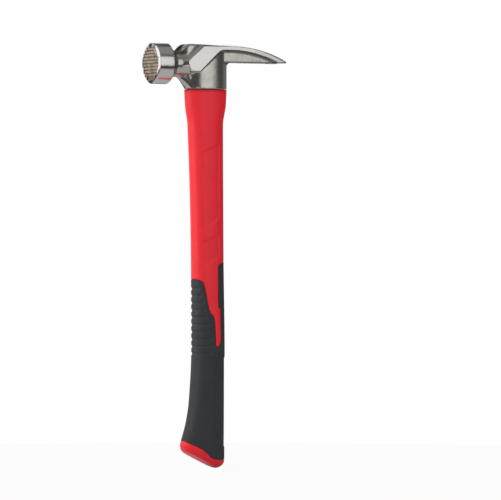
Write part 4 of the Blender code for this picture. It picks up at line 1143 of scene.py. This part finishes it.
def grip_outline():
    """Side outline of the rubber: a front and a rear tongue round the jacket's own tongue."""
    outside = BUTT_FRONT + OVERRUN
    front_top, rear_top = GRIP_FRONT_TOP - HAMMER_LENGTH, GRIP_REAR_TOP - HAMMER_LENGTH
    tongue = TONGUE_FOOT - HAMMER_LENGTH
    step_foot = tongue + TONGUE_STEP_RISE
    outline = [(-outside, front_top), *side_edge(TONGUE_FRONT_EDGE, front_top, tongue),
               (TONGUE_TIP_BACK, tongue), (TONGUE_BACK, tongue + TONGUE_CHAMFER), (TONGUE_BACK, step_foot),
               (REAR_TAB_FRONT, step_foot + TONGUE_BACK - REAR_TAB_FRONT)]
    outline += bezier((REAR_TAB_FRONT, rear_top - REAR_TAB_CORNER), (REAR_TAB_FRONT, rear_top),
                      (REAR_TAB_FRONT + REAR_TAB_CORNER, rear_top + REAR_TAB_LIFT), 8)
    foot_front, foot_rear = GRIP_FOOT_FRONT - HAMMER_LENGTH, GRIP_FOOT_REAR - HAMMER_LENGTH
    outline += [(outside, rear_top + GRIP_REAR_RISE), (outside, foot_rear)]
    rise_at = smooth_curve(GRIP_FOOT_EDGE)
    front, rear = GRIP_FOOT_EDGE[0][0], GRIP_FOOT_EDGE[-1][0]
    for step in range(49):
        place = rear + (front - rear) * step / 48
        outline.append((place, foot_rear + (foot_front - foot_rear) * rise_at(place)))
    return outline + [(-outside, foot_front)]


def recess(name, outline, depth):
    """A cutter for a recess of even depth: an outline across the handle, less its inset form."""
    floor = handle_form(name + "_floor", depth)
    cutter = combine(slab(name, outline, HANDLE_GRIP_WIDTH), "DIFFERENCE", floor)
    return settle(cutter, floor)


jacket = handle_form("jacket_moulding")
cuts = [recess("grip_pocket", grown(grip_outline(), HAIR / 3), GRIP_THICKNESS + HAIR)]
for number, (top, foot) in enumerate(PANELS, 1):
    panel = [(-PANEL_FRONT, -MOUTH_DROP - top), (PANEL_BACK, PANEL_TOP_SLANT - MOUTH_DROP - top),
             (PANEL_BACK, PANEL_FOOT_SLANT - MOUTH_DROP - foot), (-PANEL_FRONT, -MOUTH_DROP - foot)]
    cuts.append(recess(f"side_panel_{number}", panel, PANEL_DEPTH))
combine(jacket, "DIFFERENCE", *cuts)
settle(soften(jacket, JACKET_VOXEL, MOULD_PASSES), *cuts)
jacket_hollow = core_hollow("jacket_hollow", CORE_FOOT_COVER - HAMMER_LENGTH - HAIR, OVERRUN - MOUTH_DROP)
combine(jacket, "DIFFERENCE", jacket_hollow)
settle(jacket, jacket_hollow)

JACKET_RED = (0.750, 0.013, 0.026, 1)
RUBBED_RED = (0.74, 0.04, 0.05, 1)
# Dark red for handling marks and crevice grime, and for the painted shadow under the socket
GRIME_AND_SHADOW_RED = (0.33, 0.008, 0.012, 1)
# Painted shadow: the band of the jacket just under the socket's mouth is painted darker, as the socket's
# shadow
SOCKET_SHADOW_BAND = (-MOUTH_DROP - 0.0034, -MOUTH_DROP - 0.0006)
MOULD_GRAIN_DEPTH = 0.00005


def make_jacket_plastic():
    material, tree, shader = new_material("red_nylon")
    shader.inputs["Specular IOR Level"].default_value = 0.3
    wear = shared(tree, edge_wear, Worn_From=0.52, Worn_Fully=0.58, Patches_Per_Metre=220.0)
    marks = shared(tree, handling_marks, Patches_Per_Metre=35.0)
    colour = blend(tree, times(tree, marks, 0.10), JACKET_RED, GRIME_AND_SHADOW_RED)
    colour = blend(tree, times(tree, wear, 0.5), colour, RUBBED_RED)
    height = new_node(tree, "ShaderNodeSeparateXYZ", {0: place_on_piece(tree)}).outputs["Z"]
    # Painted shadow under the socket's mouth; the grime mask below carries it together with the real
    # crevice grime
    shadow_under_socket = ramp(tree, height, *SOCKET_SHADOW_BAND)
    grime = most(tree, times(tree, shared(tree, crevice_grime), 0.6), times(tree, shadow_under_socket, 0.9))
    colour = blend(tree, grime, colour, GRIME_AND_SHADOW_RED)
    grain = shared(tree, fine_grain, Grains_Per_Metre=2800.0)
    dress(tree, shader, colour, ramp(tree, marks, 0.0, 1.0, 0.36, 0.44), (grain, 0.35, MOULD_GRAIN_DEPTH))
    return material


shade_smooth(jacket, 45)
finish_piece(jacket, make_jacket_plastic(), "handle_jacket", slot="jacket_red")

# Grip sleeve
# Soft black rubber is moulded into a pocket of the jacket, flush with it. A finger pad with
# round-bottomed grooves crosses its front, and a plain sunk panel lies behind.
RIB_COUNT = 10
RIB_PITCH = 0.0069
RIB_GROOVE_WIDTH = 0.0030
RIB_GROOVE_DEPTH = 0.0008
RIB_GROOVE_SHOULDER = 1.25
RIB_GROOVE_FLOOR = 0.45
RIB_BORDER = 0.0071
PAD_BACK_FADE = 0.0014
GRIP_VOXEL = 0.00055
GRIP_BORE_SPACING = 0.003
GRIP_PANEL_DEPTH = 0.0006
GRIP_PANEL_TOP = 0.1060
GRIP_PANEL_FOOT = 0.0200
PAD_BACK_EDGE = ((0.0, -0.0130), (0.09, -0.0100), (0.48, -0.0029), (0.72, 0.0008), (0.88, 0.0012),
                 (1.0, -0.0058))
GRIP_PANEL_EDGE = ((0.0, 0.0075), (0.05, 0.0050), (0.10, 0.0041), (0.94, 0.0017), (1.0, 0.0060))
pad_top = GRIP_FRONT_TOP - HAMMER_LENGTH - RIB_BORDER
pad_foot = pad_top - RIB_PITCH * RIB_COUNT


def mark_finger_pad(thing):
    """Stores on each point how far inside the finger pad it lies, from 0 to 1."""
    edge_at = smooth_curve(PAD_BACK_EDGE)
    mask = thing.data.attributes.new("finger_pad", "FLOAT", "POINT")
    shares = []
    for vert in thing.data.vertices:
        inside = 0.0
        if pad_foot < vert.co.z < pad_top:
            edge = edge_at((pad_top - vert.co.z) / (pad_top - pad_foot + RIB_BORDER))
            inside = min(max((edge - vert.co.x) / PAD_BACK_FADE, 0.0), 1.0)
        shares.append(inside * inside * (3 - 2 * inside))
    mask.data.foreach_set("value", shares)


def make_rib_tree():
    """Geometry Nodes: sinks evenly spaced round-bottomed grooves into the marked pad."""
    sockets = {"Pad Top": "Float", "Pitch": "Float", "Groove Width": "Float", "Groove Depth": "Float",
               "Finish": "Material"}
    tree, given, result = geometry_tree("finger_ribs", sockets)
    position = new_node(tree, "GeometryNodeInputPosition").outputs[0]
    height = new_node(tree, "ShaderNodeSeparateXYZ", {0: position}).outputs["Z"]
    below = maths(tree, "DIVIDE", maths(tree, "SUBTRACT", given["Pad Top"], height), given["Pitch"])
    from_groove = maths(tree, "ABSOLUTE", maths(tree, "SUBTRACT", maths(tree, "FRACT", below), 0.5))
    half = maths(tree, "DIVIDE", times(tree, given["Groove Width"], 0.5), given["Pitch"])
    outer, inner = times(tree, half, RIB_GROOVE_SHOULDER), times(tree, half, RIB_GROOVE_FLOOR)
    sunk = ramp(tree, from_groove, outer, inner)
    mask = new_node(tree, "GeometryNodeInputNamedAttribute", {"Name": "finger_pad"}, data_type="FLOAT")
    depth = times(tree, sunk, mask.outputs["Attribute"], given["Groove Depth"], -1.0)
    sink = {0: new_node(tree, "GeometryNodeInputNormal").outputs[0], "Scale": depth}
    offset = new_node(tree, "ShaderNodeVectorMath", sink, operation="SCALE").outputs[0]
    moved = {"Geometry": given["Geometry"], "Offset": offset}
    solid = new_node(tree, "GeometryNodeSetPosition", moved).outputs[0]
    return finish_tree(tree, solid, given["Finish"], result)


RUBBER_BLACK = (0.024, 0.027, 0.029, 1)
DUSTY_RUBBER = (0.065, 0.066, 0.066, 1)
RUBBED_RUBBER = (0.016, 0.017, 0.018, 1)
RUBBER_GRAIN_DEPTH = 0.00012


def make_grip_rubber():
    material, tree, shader = new_material("grip_rubber")
    shader.inputs["Specular IOR Level"].default_value = 0.4
    dust = shared(tree, crevice_grime, Dirty_From=0.492, Dirty_Fully=0.455)
    wear = shared(tree, edge_wear, Worn_From=0.52, Worn_Fully=0.58)
    marks = shared(tree, handling_marks, Patches_Per_Metre=60.0)
    colour = blend(tree, times(tree, dust, 0.75), RUBBER_BLACK, DUSTY_RUBBER)
    colour = blend(tree, times(tree, wear, 0.3), colour, RUBBED_RUBBER)
    rough = maths(tree, "SUBTRACT", ramp(tree, marks, 0.0, 1.0, 0.62, 0.74), times(tree, wear, 0.18))
    grain = shared(tree, fine_grain, Grains_Per_Metre=1900.0)
    dress(tree, shader, colour, rough, (grain, 0.5, RUBBER_GRAIN_DEPTH))
    return material


grip_rubber = make_grip_rubber()
grip = handle_form("grip_sleeve_rubber")
grip_trim = slab("grip_trim", grip_outline(), HANDLE_GRIP_WIDTH)
panel_top, panel_foot = GRIP_PANEL_TOP - HAMMER_LENGTH, GRIP_PANEL_FOOT - HAMMER_LENGTH
behind = BUTT_FRONT + OVERRUN
panel = [(behind, panel_top), *side_edge(GRIP_PANEL_EDGE, panel_top, panel_foot), (behind, panel_foot)]
grip_panel = recess("grip_panel", panel, GRIP_PANEL_DEPTH)
combine(grip, "INTERSECT", grip_trim)
combine(grip, "DIFFERENCE", grip_panel)
settle(soften(grip, GRIP_VOXEL, MOULD_PASSES), grip_trim, grip_panel)
mark_finger_pad(grip)
node_modifier(grip, make_rib_tree(), Pad_Top=pad_top, Pitch=RIB_PITCH, Groove_Width=RIB_GROOVE_WIDTH,
              Groove_Depth=RIB_GROOVE_DEPTH, Finish=grip_rubber)
settle(grip)
grip_bore = handle_form("grip_bore", GRIP_THICKNESS, GRIP_BORE_SPACING, 96)
combine(grip, "DIFFERENCE", grip_bore)
settle(grip, grip_bore)
shade_smooth(grip, 45)
finish_piece(grip, grip_rubber, "grip_sleeve", slot="grip_rubber")

# Table
# A white round table that the butt stands on. To the camera and in reflections it is as pale
# as the background, and it keeps a faint shadow of the handle.
TABLE_RADIUS = 0.70
TABLE_THICKNESS = 0.02
TABLE_GAP = 0.00005
TABLE_WHITE = (0.58, 0.58, 0.58, 1)
BACKGROUND_WHITE = (1, 1, 1, 1)
GLOSSY_SHARE = 0.25
PALE_SHARE = 0.94


def make_table_paint():
    material, tree, shader = new_material("table_paint")
    shader.inputs["Base Color"].default_value = TABLE_WHITE
    shader.inputs["Roughness"].default_value = 0.9
    pale = new_node(tree, "ShaderNodeEmission", {"Color": BACKGROUND_WHITE, "Strength": 1.0})
    rays = new_node(tree, "ShaderNodeLightPath").outputs
    seen = most(tree, rays["Is Camera Ray"], rays["Is Transmission Ray"],
                times(tree, rays["Is Glossy Ray"], GLOSSY_SHARE))
    mixed = {0: times(tree, seen, PALE_SHARE), 1: shader.outputs[0], 2: pale.outputs[0]}
    surface = new_node(tree, "ShaderNodeMixShader", mixed).outputs[0]
    tree.links.new(surface, tree.nodes["Material Output"].inputs["Surface"])
    return material


table_top = cad_box[0][2] - TABLE_GAP
table_edge = arc((0, 0), TABLE_RADIUS, 0, 360 * 127 / 128, 127)
table_heights = (table_top - TABLE_THICKNESS, table_top)
table = loft("table", [[(x, y, height) for x, y in table_edge] for height in table_heights])
table.data.materials.append(make_table_paint())

# Studio
# Two large soft boxes, one on each side of the camera, in a white studio. The world gives the
# camera plain white, lights matt surfaces most from the left, and gives metal the studio's bands.
FILL_LEFT = 1.10
FILL_RIGHT = 0.36


def direction(azimuth, elevation):
    """Unit vector at an azimuth from -Y towards +X and an elevation, in degrees."""
    turn, rise = math.radians(azimuth), math.radians(elevation)
    return Vector((math.sin(turn) * math.cos(rise), -math.cos(turn) * math.cos(rise), math.sin(rise)))


def soft_box(name, azimuth, elevation, distance, width, height, radiance):
    """A rectangular lamp that looks at the hammer's head and isn't seen by the camera."""
    lamp = bpy.data.lights.new(name, "AREA")
    lamp.shape = "RECTANGLE"
    lamp.size = width
    lamp.size_y = height
    lamp.energy = radiance * math.pi * width * height
    holder = bpy.data.objects.new(name, lamp)
    scene.collection.objects.link(holder)
    towards = direction(azimuth, elevation)
    holder.location = towards * distance
    holder.rotation_euler = towards.to_track_quat("Z", "Y").to_euler()
    holder.visible_camera = False


soft_box("right_soft_box", azimuth=18.5, elevation=9.5, distance=1.2,
         width=0.62, height=0.99, radiance=1.15)
soft_box("left_soft_box", azimuth=-95, elevation=15, distance=1.2,
         width=1.60, height=1.50, radiance=1.50)


def band(tree, value, low, high, start=0.0, end=1.0):
    """Eases from start to end as an angle in radians passes from low to high, in degrees."""
    return ramp(tree, value, math.radians(low), math.radians(high), start, end)


def choose(tree, share, first, second):
    return new_node(tree, "ShaderNodeMix", {0: share, 2: first, 3: second}, data_type="FLOAT").outputs[0]


def studio_bands(tree, azimuth, elevation):
    """What metal reflects: grey walls, white behind the hammer, a pale roof and a dark floor line."""
    round_back = maths(tree, "ABSOLUTE", azimuth)
    right_side = band(tree, azimuth, 62, 82, 0.0, 0.12)
    side = maths(tree, "ADD", band(tree, round_back, 55, 75, 0.09, 0.16), right_side)
    low_wall = most(tree, side, band(tree, round_back, 142, 152))
    dark_corner = times(tree, band(tree, azimuth, 113, 123), band(tree, azimuth, 152, 142))
    roof = times(tree, band(tree, elevation, 40, 48, 0.17, 0.36),
                 ramp(tree, dark_corner, 0.0, 1.0, 1.0, 0.32))
    walls = choose(tree, band(tree, elevation, 32, 38), low_wall, roof)
    return times(tree, walls, band(tree, elevation, -14, -8, 0.07, 1.0))


def make_studio_world():
    world = bpy.data.worlds.new("studio")
    world.use_nodes = True
    scene.world = world
    tree = world.node_tree
    tree.nodes.clear()
    towards = new_node(tree, "ShaderNodeTexCoord").outputs["Generated"]
    x, y, z = new_node(tree, "ShaderNodeSeparateXYZ", {0: towards}).outputs
    azimuth = maths(tree, "ARCTAN2", x, times(tree, y, -1.0))
    bands = studio_bands(tree, azimuth, maths(tree, "ARCSINE", z))
    fill = ramp(tree, x, -1.0, 1.0, FILL_LEFT, FILL_RIGHT)
    rays = new_node(tree, "ShaderNodeLightPath").outputs
    mirrored = most(tree, rays["Is Glossy Ray"], rays["Is Transmission Ray"])
    strength = choose(tree, rays["Is Camera Ray"], choose(tree, mirrored, fill, bands), 1.0)
    sockets = {"Color": BACKGROUND_WHITE, "Strength": strength}
    background = new_node(tree, "ShaderNodeBackground", sockets).outputs[0]
    tree.links.new(background, new_node(tree, "ShaderNodeOutputWorld").inputs["Surface"])


make_studio_world()
scene.view_settings.view_transform = "Standard"

# Camera
# It stands level with the handle's waist and looks at the hammer's left side, a quarter
# turned towards the face, from far enough away for parallel edges to stay parallel.
CAMERA_AZIMUTH = -27.6
CAMERA_DISTANCE = 5.4
CAMERA_LENS = 405.7
CAMERA_SENSOR = 36.0
AIM_RIGHT = 0.0422
AIM_HEIGHT = -0.1966

turn = math.radians(CAMERA_AZIMUTH)
aim = Vector((math.cos(turn) * AIM_RIGHT, math.sin(turn) * AIM_RIGHT, AIM_HEIGHT))
camera = bpy.data.objects.new("camera", bpy.data.cameras.new("camera"))
scene.collection.objects.link(camera)
camera.data.lens = CAMERA_LENS
camera.data.sensor_width = CAMERA_SENSOR
camera.location = aim + direction(CAMERA_AZIMUTH, 0) * CAMERA_DISTANCE
camera.rotation_euler = direction(CAMERA_AZIMUTH, 0).to_track_quat("Z", "Y").to_euler()
scene.camera = camera
